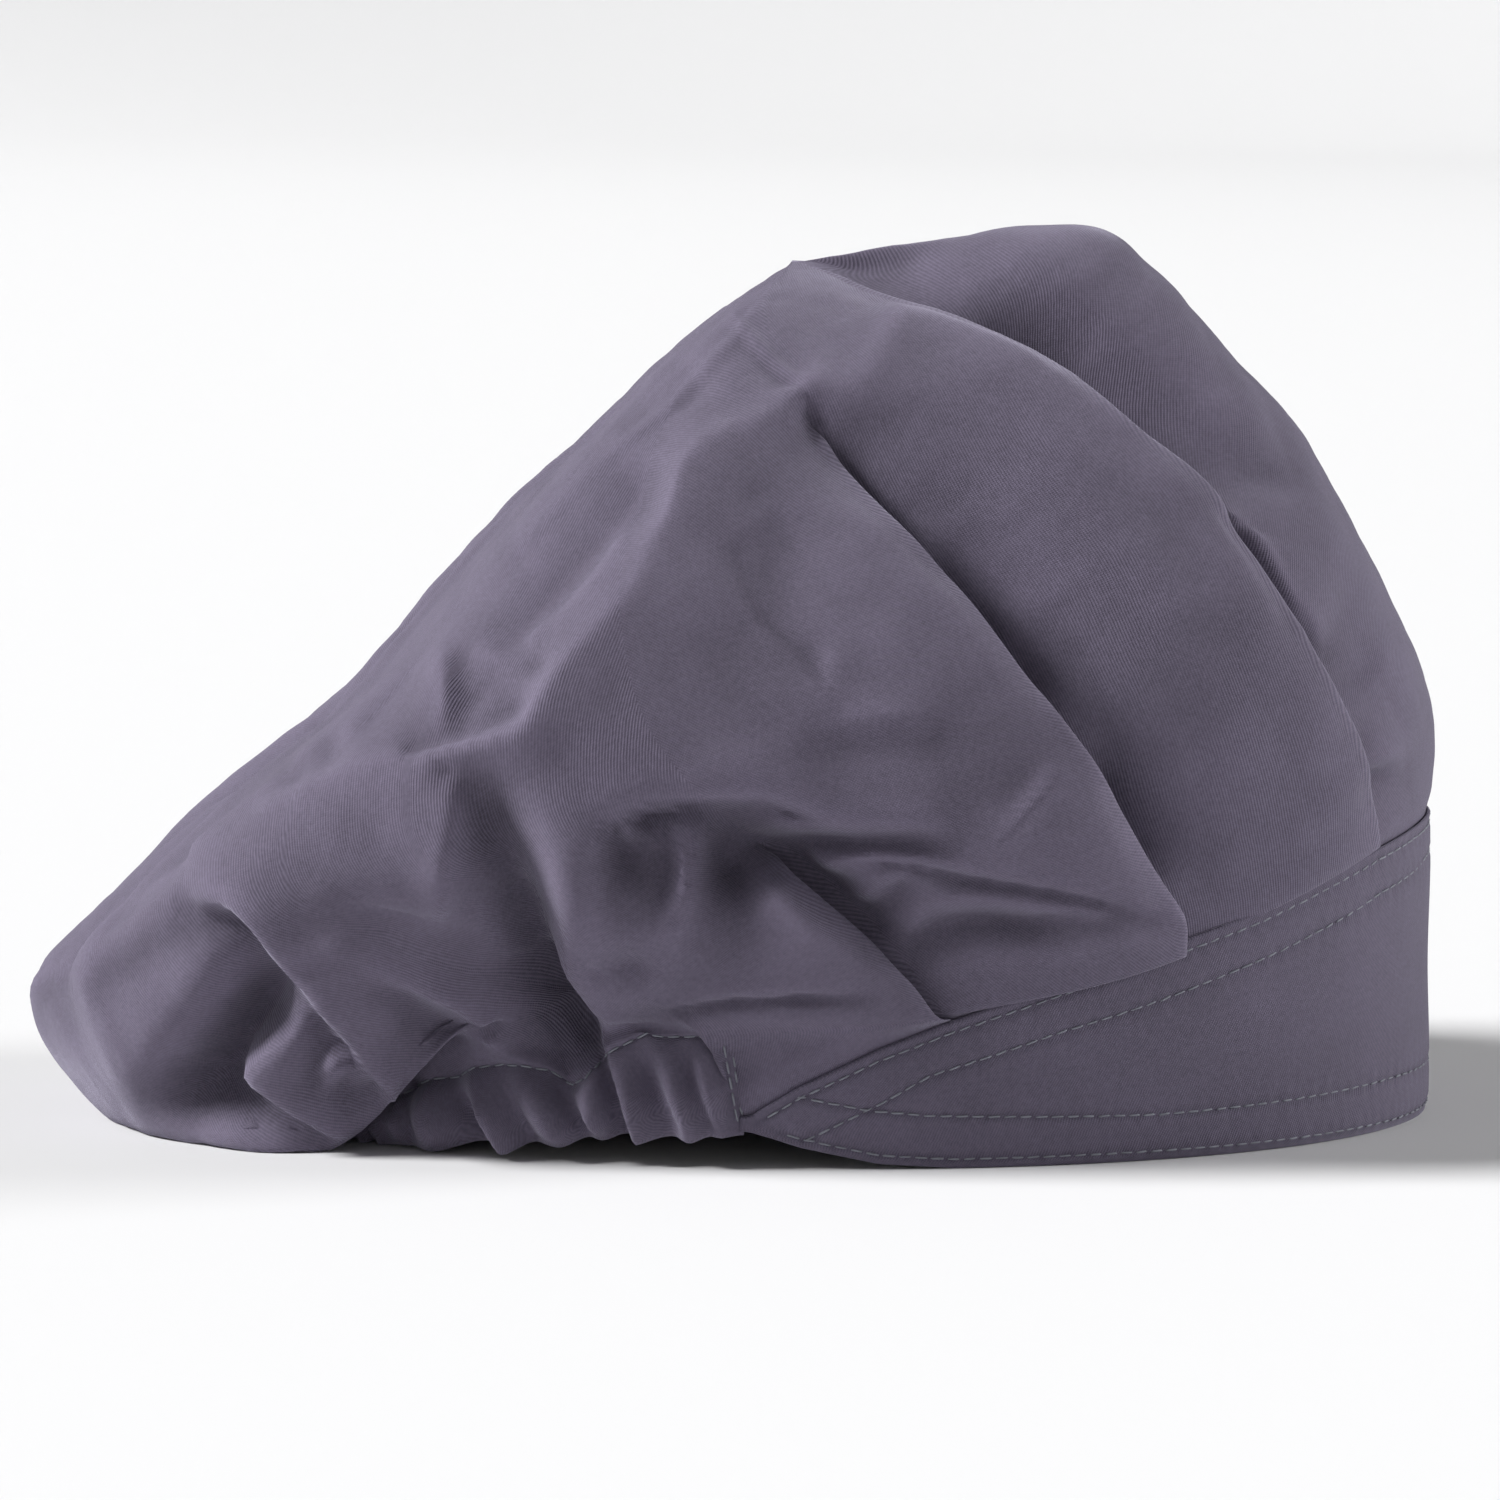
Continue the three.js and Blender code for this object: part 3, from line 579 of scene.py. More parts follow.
crease("middle facet edge", 0.6, [(5.5, 126, 0.2), (2.5, 121, 0.6), (-1, 116.5, 1), (1, 110, 1),
    (5, 103, 0.8), (10, 98.5, 0.6), (14.5, 95, 0.5), (16.5, 90, 0.9), (17.5, 85.5, 0.4)],
    drop=("left", 2, 0.9))
crease("middle facet", 3, [(8, 121, -1.4), (8.5, 114, -1.6), (13, 107, -1.2)])
crease("near facet edge", 0.5, [(17.5, 85.5, 0.4), (18.5, 91, 1.5), (19.5, 97, 0.9)],
    drop=("right", 1.7, 0.8))
crease("near facet line", 0.5, [(17.5, 85.5, 0.4), (26, 86, 0.9), (36, 86.5, 0.7)],
    drop=("right", 1.7, 0.8))
crease("near facet foot", 2, [(18.5, 81, -0.7), (28, 81.5, -0.8), (38.5, 82.5, -0.4)])
crease("near line", 0.9, [(2.5, 102.5, 0.3), (7.5, 99, 0.7), (13, 96.5, 0.3)])
crease("slope step", 0.8, [(-58, 99, 0.3), (-54.5, 97.5, 1), (-53.5, 93.5, 1.5), (-53.5, 88, 1.5),
    (-54.5, 82.5, 0.6)])
crease("slope step foot", 1.5, [(-50.8, 95, -0.2), (-50, 89, -0.5), (-50.5, 83.5, -0.2)])
crease("slope brow", 0.9, [(-50.5, 95, -0.6), (-45.5, 97.5, 0.8), (-41, 95.5, 1.2), (-35, 94.5, 1.2)])
crease("slope facet", 1.2, [(-49.5, 89, -1.2), (-45, 92, 0), (-41, 95.5, 1.2)])
crease("slope valley", 3, [(-44, 99.5, -1), (-36, 104.5, -1.4), (-27, 113, -1.4), (-20, 121.5, -1),
    (-15, 129, -0.8)])
crease("slope rib", 0.6, [(-35.5, 99.5, 1.6), (-29, 105.5, 2.2), (-23, 112.5, 2.4), (-19.5, 118, 2)],
    drop=("left", 1.8, 1))
crease("slope back edge", 1, [(-58, 99, 0.8), (-45, 111, 1.4), (-31, 124, 1.6), (-21, 134.5, 1.6),
    (-10.5, 142.5, 1.2)], drop=("right", 2.5, 0.9))
crease("slope rear facet", 1.5, [(-62, 93.5, -1), (-66, 88.5, -1.2), (-69.5, 83.5, -0.6)])
crease("slope notch", 0.8, [(-60, 78.5, 0.6), (-54.5, 80.5, 0.5), (-47, 83.5, 0.4),
    (-39.5, 87.5, 0.3)])
crease("rear line", 0.5, [(-83.5, 72.5, 0.6), (-81.5, 77.5, 1.6), (-80, 81, 1.8), (-76.5, 84.5, 1)],
    drop=("right", 1.7, 0.9))
crease("rear line dent", 1.5, [(-77.5, 77, -0.7), (-75, 81, -0.9)])
crease("upper slope rib", 1.2, [(-17.5, 131, 0.4), (-14.5, 135, 0.8), (-13.5, 138.5, 0.8),
    (-11.5, 142, 0.4)])
crease("front shade", 4, [(24, 167, -3.4), (40, 164.5, -6.4), (52, 160.5, -8.8), (63.5, 155.5, -10),
    (73.5, 149.5, -9.4), (81.5, 143, -7.6), (89, 137, -5.8), (99, 132.5, -3.8), (110.5, 129.5, -2.2)])
crease("front rim", 4, [(38, 170.5, 0), (55.5, 170.5, 0), (69.5, 166, 0.4), (81, 158.5, 0.8),
    (93, 148.5, 1), (105, 138.5, 0.6)])
crease("front swell", 4, [(88, 121.5, -1.6), (95, 122.5, 0), (103, 121, 0.8), (111, 118, 0.8),
    (118.5, 114, 0.5)])
crease("front facet edge", 0.9, [(98, 123.5, 1.7), (102, 120, 2), (105.5, 114, 2.2),
    (109, 107.5, 2.2), (113, 103, 2), (115, 98.5, 1.6)])
crease("front facet", 2, [(92.5, 121.5, -3.4), (97.5, 116, -3.8), (102.5, 109, -2.8), (107, 103, -2)])
crease("front dent", 1.2, [(109.5, 97.5, -1.2), (114, 98, -1.7)])
crease("front small crest", 1, [(126, 96.5, 0.3), (129, 93, 0.9), (127.5, 89, 0.5)])
crease("front small dent", 1.5, [(119, 88.5, -0.5), (125.5, 91.5, -1)])
crease("front low dent", 1, [(123.5, 69, -1.4), (126.5, 70.5, -2), (130, 71, -1.2)])
crease("front low crest", 1.2, [(125.5, 73, 0.3), (129, 74, 0.8), (133, 75, 0.4)])
crease("middle spot", 3, [(57.5, 109.5, -1.2), (60, 103.5, -2.4), (62.5, 98.5, -1.6)])
crease("middle swell", 5, [(79.5, 114.5, 0.8), (85, 100, 1.2), (91.5, 85, 1), (98.5, 73, 0.6)])
crease("middle low swell", 4, [(79, 78.5, 0.6), (86.5, 75.5, 1), (94.5, 69.5, 0.6)])
crease("lip foot high", 1.8, [(20, 135.5, -3), (26, 129, -3.2), (33, 122, -2.2)])
crease("lip foot middle", 2.2, [(39.5, 115, -4.2), (46, 108, -5), (52, 99, -4.4), (57, 92, -2.8)])
crease("lip foot low", 2, [(71, 76.5, -2.5), (74.5, 69.5, -5.5), (78.5, 63, -4.6),
    (82.5, 54.5, -2.6)])
crease("ridge by trough", 0.8, [(-25, 25, 2.8), (-22.5, 19.5, 2.4), (-20.5, 15, 2.2),
    (-19, 10, 2.2), (-17.5, 5, 1.8)])
crease("casing valley 1", 1.3, [(-16.5, 23.5, -1.2), (-16, 20, -3.6), (-14.5, 15.5, -4.5),
    (-12, 11, -3.6), (-10, 7, -2.7)])
crease("casing ridge 1", 1.5, [(-13, 22.5, 0.9), (-11, 16.5, 2.2), (-9, 11.5, 2.2), (-7, 6.5, 1.5)])
crease("casing valley 2", 1.1, [(-9, 23.5, -1.5), (-8, 19.5, -3.3), (-6, 13.5, -3), (-3.5, 7, -2.1)])
crease("casing ridge 2", 1.3, [(-6, 22.5, 0.9), (-4, 15.5, 1.7), (-1.5, 7.5, 1.2)])
crease("casing valley 3", 1, [(-3, 23.5, -1.5), (-2.5, 18, -2.7), (0, 11, -1.8)])
crease("casing ridge 3", 1.3, [(-27, 18, 2.1), (-26.5, 14, 3.3), (-25, 9, 3.3), (-24, 6.5, 2.4)])
crease("casing valley 4", 0.8, [(-36.5, 18, -1.2), (-33, 13.5, -3.6), (-30, 10, -3.9),
    (-26.5, 6, -2.7)])
crease("casing ridge 4", 1.5, [(-41.5, 19.5, 1.2), (-36.5, 14, 3), (-32.5, 8, 3.3), (-30.5, 5, 2.4)])
crease("casing valley 5", 1, [(-44.5, 16.5, -0.6), (-41, 12, -1.4), (-38, 6.5, -1.7),
    (-36.5, 3.5, -1.2)])
crease("casing ridge 5", 1, [(-49.5, 17, 1), (-45.5, 11, 3), (-42.5, 7, 3.4), (-40.5, 3, 2.8)])
crease("casing valley 6", 1, [(-55.5, 15, -1.6), (-52, 11.5, -3.8), (-48.5, 8, -4.4),
    (-44.5, 3.5, -3.4)])
crease("casing ridge 6", 1.5, [(-59.5, 13.5, 1.2), (-56.5, 8, 2.7), (-53.5, 3, 2.4)])
crease("casing valley 7", 1.2, [(-62.5, 13.5, -2.1), (-61.5, 7.5, -3), (-58.5, 3, -2.1)])

# The cloth beside the pleats' lips stays up, whatever the creases near it do.
crease("third lip", 2, [(120.5, 62, 0), (108.5, 89, 0.4), (88.5, 122.5, 0.6), (57, 151, 0.6),
    (35, 160, 0.2)])
crease("second lip", 2, [(83, 44.5, 0), (67.5, 72, 0.3), (55.5, 88, 0.5), (42.5, 105, 0.5),
    (23.5, 122, 0.4)])
crease("first lip", 1.2, [(32, 34.5, 0), (25, 40.5, 0.3), (17, 47.5, 0.4), (8, 55, 0)])

print(len(CREASES), "creases are drawn")

# %% Stretch the film over them
FILM_STEP = 1.0
FILM_LOW, FILM_HIGH = np.array([-146.0, -6.0]), np.array([146.0, 184.0])
SETTLE = 20.0
PULL = 4.0
PLAIN_ROUNDING = 1.8
SHARPNESS = 0.6
DEPTH = 1.35


def film_places(points):
    """The four film cells round each point and its share of each."""
    place = (points - FILM_LOW) / FILM_STEP
    whole = np.floor(place).astype(int)
    part = place - whole
    for up in (0, 1):
        for across in (0, 1):
            share = np.abs(1 - across - part[..., 0]) * np.abs(1 - up - part[..., 1])
            yield whole[..., 1] + up, whole[..., 0] + across, share


def film(value_of):
    """The surface through every crease's values that is as taut as it can be."""
    shape = tuple(((FILM_HIGH - FILM_LOW) / FILM_STEP).astype(int)[::-1] + 1)
    weight, pulled = np.zeros(shape), np.zeros(shape)
    for number, (_, path, _) in enumerate(CREASES):
        run = np.concatenate([[0], np.cumsum(np.linalg.norm(np.diff(path[:, :2], axis=0), axis=1))])
        at = np.arange(0, run[-1], 0.4)
        line = np.stack([np.interp(at, run, path[:, k]) for k in range(3)], -1)
        value = value_of(number, line)
        for row, column, share in film_places(line[:, :2]):
            np.add.at(weight, (row, column), PULL * share)
            np.add.at(pulled, (row, column), PULL * share * value)

    def tension(h):
        out = (weight + (FILM_STEP / SETTLE) ** 2) * h
        for axis in (0, 1):
            step = np.diff(h, axis=axis)
            ahead, behind = (slice(1, None), slice(None)), (slice(None, -1), slice(None))
            out[ahead if axis == 0 else ahead[::-1]] += step
            out[behind if axis == 0 else behind[::-1]] -= step
        return out

    h = np.zeros(shape)
    rest = pulled - tension(h)
    way = rest.copy()
    size = (rest * rest).sum()
    for _ in range(500):
        bent = tension(way)
        reach = size / (way * bent).sum()
        h += reach * way
        rest -= reach * bent
        new_size = (rest * rest).sum()
        if new_size < 1e-8 * (pulled * pulled).sum():
            break
        way = rest + new_size / size * way
        size = new_size
    return h


def blurred(values, sigma):
    reach = max(1, round(3 * sigma))
    bell = np.exp(-0.5 * (np.arange(-reach, reach + 1) / sigma) ** 2)
    bell /= bell.sum()

    def blur_line(line):
        return np.convolve(np.pad(line, reach, "edge"), bell, "valid")

    for axis in (0, 1):
        values = np.apply_along_axis(blur_line, axis, values)
    return values


heights = DEPTH * film(lambda number, line: line[:, 2])
extra = [SHARPNESS * crease_rounding - PLAIN_ROUNDING for _, _, crease_rounding in CREASES]
rounding = PLAIN_ROUNDING + film(lambda number, line: np.full(len(line), extra[number]))
BLURS = (0.45, 1.0, 2.2, 4.6)
layers = np.array([blurred(heights, sigma / FILM_STEP) for sigma in BLURS])
pick = np.clip(np.log2(rounding / BLURS[0]), 0, len(BLURS) - 1.001)
lower = pick.astype(int)
row, column = np.indices(lower.shape)
sharp, soft = layers[lower, row, column], layers[lower + 1, row, column]
crease_map = sharp * (1 - pick + lower) + soft * (pick - lower)
lowest, highest = round(float(crease_map.min()), 1), round(float(crease_map.max()), 1)
print("the crease map goes from", lowest, "to", highest, "mm")


def crease_height(x, z, is_far):
    """The crease map read at points of the side view. The far side's creases are the same ones,
    bent a little and a little weaker, as no two sides of a cap crease alike."""
    warp_x = x + is_far * (4.0 * np.sin(z / 21 + 1.3) + 2.5 * np.sin(x / 17))
    warp_z = z + is_far * (3.5 * np.sin(x / 26 + 0.6) + 2.0 * np.sin(z / 13))
    points = np.clip(np.stack([warp_x, warp_z], -1), FILM_LOW, FILM_HIGH - 1.01 * FILM_STEP)
    height = sum(crease_map[row, column] * share for row, column, share in film_places(points))
    return height * (1 - is_far * (0.2 + 0.15 * np.sin(x / 31 + z / 23)))


# %% [markdown]
# ## Gathers
# The elastic draws the casing together, so the cloth buckles into ridges with narrow valleys
# between them. The ones that the photograph shows are in the crease map. Those round the nape
# face backwards, where the side view can't draw them, so a seeded random generator spaces them.

# %% Space the gathers round the nape
NAPE_START = (137.0, 142.0)
LEAN_PER_MM = 0.2  # degrees that a gather leans back for each millimetre that it rises


def gather_rows(is_far):
    """Each gather's angle, depth, width and the height it runs up, for one side of the cap."""
    chance = np.random.default_rng(20 + is_far)
    angle, rows = NAPE_START[0], []
    while angle < 179.0:
        rows.append((angle, chance.uniform(1.2, 2.6), chance.uniform(0.6, 1.0), chance.uniform(5, 13)))
        angle += chance.uniform(2.4, 4.2)
    return rows


def gather_height(degrees, rise):
    """rise is the height above the casing's seam along the cloth, and negative on the casing."""
    at_seam = sideways(degrees) - LEAN_PER_MM * rise
    far = np.mod(degrees, 360) > 180
    height = np.zeros(np.broadcast(at_seam, rise).shape)
    for is_far in (0, 1):
        for angle, depth, width, run_up in gather_rows(is_far):
            away = (at_seam - angle) / width
            ridge_and_valley = 0.5 * np.exp(-(away / 3.0) ** 2) - np.exp(-away ** 2)
            fading = 1 - smooth(0, run_up * 1.6, rise)
            height += depth * ridge_and_valley * fading * (far == bool(is_far))
    return height * smooth(*NAPE_START, sideways(degrees))


print("gathers on the near and the far half of the nape:", len(gather_rows(0)), len(gather_rows(1)))

# %% [markdown]
# ## The bag's cloth
# Now the heights go onto the smooth form. At the seam the cloth's outward direction is level, so
# that the edge stays on the opening's oval, and it turns to the cloth's own slope above. Two
# more rows tuck the edge in under the band.

# %% Shape the bag
SEAM_TURN = 12.0
SEAM_HOLD = 9.0
FACING = (0.06, 0.35)
TUCK = table("down inward", [(3.2, 1.9), (1.2, 1.5)])
EDGE_SINK, SEAM_GROOVE = 0.6, 0.4


def grid_normals(grid):
    across = np.roll(grid, -1, 1) - np.roll(grid, 1, 1)
    up = np.gradient(grid, axis=0)
    return unit(np.cross(up, across))


def cloth_directions(grid, degrees, foot):
    turn = smooth(0, SEAM_TURN, np.linalg.norm(grid - foot, axis=-1))[..., None]
    return unit(opening(degrees)[1] * (1 - turn) + grid_normals(grid) * turn)


def drift(points, wavelength, seed):
    """A slow random unevenness from -1 to 1, from waves in many directions."""
    chance = np.random.default_rng(seed)
    total = np.zeros(points.shape[:-1])
    for _ in range(9):
        way = unit(chance.normal(size=3)) * 2 * math.pi / (wavelength * chance.uniform(0.7, 1.5))
        total += np.sin(points @ way + chance.uniform(0, 2 * math.pi))
    return total / 4.5


def crumple(points, wavelength, seed):
    """Crisp little creases in all directions, from -0.5 to 0.5: the kinks where waves cross zero."""
    chance = np.random.default_rng(seed)
    total = np.zeros(points.shape[:-1])
    for number in range(5):
        way = unit(chance.normal(size=3)) * math.pi / (wavelength * chance.uniform(0.7, 1.5))
        bend = 1.4 * drift(points, 3 * wavelength, seed + 50 + number)
        total += np.abs(np.sin(points @ way + bend + chance.uniform(0, math.pi))) - 0.64
    return total / 3


# Above the casing the elastic holds the cloth in for a few centimetres.
WAIST = {"side": (101, 112, 118, 127), "rise": (8, 34), "depth": 4.5}
BACK_FOLDS = table("degrees height width lean", [
    (148.0, 1.6, 4.0, -1.0), (156.0, -1.4, 3.0, -1.2), (166.0, 1.8, 4.5, -0.6),
    (175.0, -1.6, 4.0, 0.4), (188.0, 1.4, 5.0, 0.8), (199.0, -1.8, 3.5, 0.5), (207.0, 1.6, 4.0, 1.4),
])


def back_fold_height(degrees, level):
    """Long shallow folds that run up the back, where the side view's creases can't reach."""
    height = np.zeros(np.broadcast(degrees, level).shape)
    for angle, tall, width, lean in zip(*BACK_FOLDS.values()):
        away = (degrees - angle - lean * (level - 4)) / width
        height += tall * np.exp(-away ** 2)
    return height * smooth(2.0, 4.0, level) * (1 - smooth(7.5, 9.8, level))


def cloth_relief(grid, directions, degrees, rise, level):
    """The creases, the nape's gathers and a slight unevenness, as heights over the smooth form."""
    side = sideways(degrees)
    near_seam = 1 - smooth(0, 10, np.abs(rise))
    held = np.where(side <= BAND_END, smooth(0, SEAM_HOLD, rise), 1 - 0.4 * near_seam)
    at_nape = 1 - smooth(*NAPE_START, side) * (1 - smooth(2, 16, rise))
    held = np.where(side > NAPE_START[0], at_nape, held)
    facing = smooth(*FACING, -directions[..., 1] * np.where(degrees > 180, -1, 1))
    is_far = np.broadcast_to((degrees > 180).astype(float), rise.shape)
    underside = 1 - smooth(0.4, 0.8, -directions[..., 2]) * (1 - smooth(24, 32, rise))
    creases = crease_height(grid[..., 0], grid[..., 2], is_far) * held * facing * underside
    uneven = 0.35 * drift(grid, 34, 5) + 0.6 * crumple(grid, 17, 7) + 0.2 * crumple(grid, 8, 9)
    back = back_fold_height(degrees, level) * (1 - facing)
    waist = smooth(*WAIST["side"][:2], side) * (1 - smooth(*WAIST["side"][2:], side))
    waist = -WAIST["depth"] * waist * smooth(0, 6, rise) * (1 - smooth(*WAIST["rise"], rise))
    return creases + gather_height(degrees, rise) + uneven * smooth(0, 14, np.abs(rise)) + back + waist


form = bag_form(columns, levels)
directions = cloth_directions(form, columns, form[0])
backwards = unit(np.roll(form, -1, 1) - np.roll(form, 1, 1)) * side_sign[:, None]
rise = np.linalg.norm(form - form[0], axis=-1)
relief = cloth_relief(form, directions, columns, rise, levels[:, None])

height = np.array([pleat_height(columns, level) for level in levels])
shift = np.zeros_like(height)
for number, pleat in enumerate(PLEATS):
    here = pleat_of == number
    raised = np.interp(levels, pleat["level"], pleat["raise"])[:, None]
    sunk = np.interp(levels, pleat["level"], pleat["sink"])[:, None]
    folded = smooth(0, 2.0, raised + sunk)
    row = section_of[here]
    height[:, here] = -sunk + (raised + sunk) * PLEAT_SECTION["share"][row]
    shift[:, here] = folded * (PLEAT_SECTION["folded"] - PLEAT_SECTION["flat"])[row]

# The bag's cloth comes down to the height of the seam that climbs up behind the ear.
at_ear = np.exp(-((sideways(columns) - np.mean(EDGE_STEP)) / 1.5) ** 2)
at_ear = at_ear * (1 - smooth(25, 31, form[..., 2]))
relief *= 1 - 0.85 * at_ear
on_band = (sideways(columns) <= BAND_END).astype(float)
edge_sink = on_band * EDGE_SINK * (1 - smooth(0, 5.0, rise))
groove = (1 - on_band) * SEAM_GROOVE * np.exp(-(rise / 1.3) ** 2)
total = height + relief - edge_sink - groove
outer = form + directions * total[..., None] + backwards * shift[..., None]
outer[..., 2] = np.maximum(outer[..., 2], 0.15)
tucked = [outer[0] - opening(columns)[1] * inward - np.array([0, 0, down])
          for down, inward in zip(TUCK["down"], TUCK["inward"])]
outer = np.concatenate([tucked, outer])
print("the bag's outside spans", np.round(outer.min((0, 1)), 1), np.round(outer.max((0, 1)), 1))

# %% [markdown]
# The inside is a coarser grid. It follows the lowest of the outside's heights nearby, a cloth's
# thickness deeper, so that it clears every valley and every pleat's hidden layers.

# %% Shape the bag's inside
INSIDE_ROWS, INSIDE_COLUMNS = 3, 4  # one inside row and column for so many outside ones
NEAR_ROWS, NEAR_COLUMNS = 2, 7  # how far it looks for the lowest height
CLOTH = 0.9
INSIDE_FLOOR, INSIDE_EDGE = 1.2, 3.0


def lowest_nearby(values, rows, count):
    lowest = values.copy()
    for step in range(1, rows + 1):
        lowest[step:] = np.minimum(lowest[step:], values[:-step])
        lowest[:-step] = np.minimum(lowest[:-step], values[step:])
    around = lowest.copy()
    for step in range(1, count + 1):
        around = np.minimum(around, np.minimum(np.roll(lowest, step, 1), np.roll(lowest, -step, 1)))
    return around


coarse_grid = (slice(None, None, INSIDE_ROWS), slice(None, None, INSIDE_COLUMNS))
inside_total = lowest_nearby(total, NEAR_ROWS, NEAR_COLUMNS)[coarse_grid] - CLOTH
inside_columns = columns[::INSIDE_COLUMNS]
inner = form[coarse_grid] + directions[coarse_grid] * inside_total[..., None]
inner[..., 2] = np.maximum(inner[..., 2], INSIDE_FLOOR)
inner[0] = form[0][::INSIDE_COLUMNS] - opening(inside_columns)[1] * INSIDE_EDGE
inside_tuck = outer[0][::INSIDE_COLUMNS] - opening(inside_columns)[1] * CLOTH
inner = np.concatenate([[inside_tuck], inner])

# %% [markdown]
# The two grids become one closed mesh: quads over each, triangles at the top and round the edge.
# Each face corner also gets its place on the flat cloth, measured along the rows from the middle
# of its panel, so that the weave keeps its true size and turns from panel to panel. It is
# measured on the smooth form: over the creases the lengths differ from row to row, and the ribs
# would zigzag.

# %% Make the bag's mesh
PANEL_TWILL = table("from_degrees reference twill", [
    (0.0, 0.0, 40.0), (27.0, 40.0, 80.0), (56.6, 68.0, 126.0), (80.4, 110.0, 98.0),
])


def flat_corners(grid, degrees, quads_shape):
    """The flat place of each quad corner of an outside grid, turned so that x crosses the twill."""
    closed = np.concatenate([grid, grid[:, :1]], 1)
    across, up = running_length(closed, 1), running_length(closed, 0)
    side = sideways(degrees)
    panel = np.searchsorted(PANEL_TWILL["from_degrees"], side, "right") - 1
    far = degrees > 180
    corners = np.zeros(quads_shape + (2,))
    for number, (reference, twill) in enumerate(zip(PANEL_TWILL["reference"], PANEL_TWILL["twill"])):
        for is_far in (False, True):
            here = np.where((panel == number) & (far == is_far))[0]
            if not len(here):
                continue
            middle = int(np.argmin(np.abs(degrees - (360 - reference if is_far else reference))))
            away = across - across[:, middle:middle + 1]
            turn = math.radians(-twill if is_far else twill)
            flat = np.stack([away * math.sin(turn) + up * math.cos(turn),
                             up * math.sin(turn) - away * math.cos(turn)], -1)
            low, high = flat[:-1], flat[1:]
            square = [low[:, here], high[:, here], high[:, here + 1], low[:, here + 1]]
            corners[:, here] = np.stack(square, 2)
    return corners


rows_out, count_out = outer.shape[:2]
rows_in, count_in = inner.shape[:2]
top_out = len(outer.reshape(-1, 3)) + len(inner.reshape(-1, 3))
tops = [CROWN_TOP, CROWN_TOP - (0, 0, 1.4)]
points = np.concatenate([outer.reshape(-1, 3), inner.reshape(-1, 3), tops])
start_in = rows_out * count_out
quads = grid_quads(rows_out, count_out, ring=True)
inside_quads = grid_quads(rows_in, count_in, start_in, ring=True, inward=True)
fine = np.arange(count_out)
coarse = (fine // INSIDE_COLUMNS) % count_in
last_out, last_in = (rows_out - 1) * count_out, start_in + (rows_in - 1) * count_in
triangles = [(last_out + c, top_out, last_out + (c + 1) % count_out) for c in fine]
triangles += [(last_in + (c + 1) % count_in, top_out + 1, last_in + c) for c in range(count_in)]
for c in fine:
    after = (c + 1) % count_out
    here = start_in + coarse[c]
    triangles.append((c, after, here))
    if coarse[after] != coarse[c]:
        triangles.append((after, start_in + coarse[after], here))
smooth_cloth = np.concatenate([outer[:len(TUCK["down"])], form])
quad_corners = flat_corners(smooth_cloth, columns, (rows_out - 1, count_out, 4))
inside_across = np.stack([np.broadcast_to(np.arange(count_in) * 4.8, (rows_in, count_in)),
                          running_length(inner, 0)], -1).reshape(-1, 2)
inside_corners = inside_across[inside_quads - start_in]


def local_mean(values, reach):
    """Each value's mean with its neighbours, over reach grid steps each way."""
    rounds = np.pad(values, ((reach, reach), (0, 0)), mode="edge")
    rounds = np.concatenate([rounds[:, -reach:], rounds, rounds[:, :reach]], 1)
    for axis in (0, 1):
        total = np.cumsum(rounds, axis=axis)
        width = 2 * reach + 1
        ahead = np.take(total, range(width - 1, total.shape[axis]), axis=axis)
        behind = np.take(total, range(0, total.shape[axis] - width + 1), axis=axis)
        rounds = (ahead - behind) / (width - 1)
    return rounds


# The crest value tones the cloth: paler on the crests as rub wear, and darker in narrow creases and
# deep folds, which is painted shade.
bump = height + relief
crest_wear_and_crease_shade = np.clip((bump - local_mean(bump, 5)) / 1.2, -1, 1)
painted_fold_shade = np.clip((bump - local_mean(bump, 13)) / 5, -1, 0.2)
crest = crest_wear_and_crease_shade + 1.6 * painted_fold_shade
crest = np.concatenate([crest[:1], crest[:1], crest]).ravel()
crest = np.concatenate([crest, np.zeros(len(points) - len(crest))])
corner_list = [quad_corners, inside_corners, np.zeros((len(triangles), 3, 2))]
face_list = [*quads.tolist(), *inside_quads.tolist(), *triangles]
crown_cloth = cloth_object("crown_cloth", points, face_list, corner_list, crest)

# %% [markdown]
# ## The casing
# The casing is the same cloth going on below the stitched seam. It shares the bag's edge, goes
# down to a folded hem that turns in towards the neck, and comes up again inside.

# %% Shape the casing
HEM_WAVE = 0.5
BILLOW, NAPE_FLARE = 4.2, 3.0
TURNED_IN_SHARE = 0.4
CASING_OUTSIDE_ROWS = 22
on_casing = sideways(columns) >= CASING_START
casing_columns = columns[on_casing]
edge_row = outer[len(TUCK["down"])][on_casing]
seam_z = form[0, on_casing, 2]
place, outward = opening(casing_columns)
hem = look_up(CASING_EDGE, "x", place[:, 0], "bottom")
turned_in = look_up(CASING_EDGE, "x", place[:, 0], "turned_in")
calm = smooth(CASING_START, CASING_START + 3, sideways(casing_columns))
nape = smooth(118, 128, sideways(casing_columns)) * (1 - smooth(142, 160, sideways(casing_columns)))
casing_rows = []
for share in np.linspace(0, 1, CASING_OUTSIDE_ROWS):
    drop = share * (seam_z - hem)
    row = place - outward * (TURNED_IN_SHARE * turned_in * share ** 1.3)[:, None]
    row[:, 2] = seam_z - drop
    facing = np.broadcast_to(outward, row.shape)
    wrinkles = cloth_relief(row[None], facing[None], casing_columns, -drop[None],
                            np.zeros((1, 1)))[0] * calm
    billow = (BILLOW * math.sin(0.75 * math.pi * share) + NAPE_FLARE * nape * share) * calm
    groove = SEAM_GROOVE * np.exp(-(drop / 1.3) ** 2)
    row += outward * (wrinkles + billow - groove)[:, None]
    row[:, 2] -= HEM_WAVE * np.clip(wrinkles, -2, 2.5) * share
    casing_rows.append(row)
casing_rows[0] = edge_row
hem_row = casing_rows[-1]
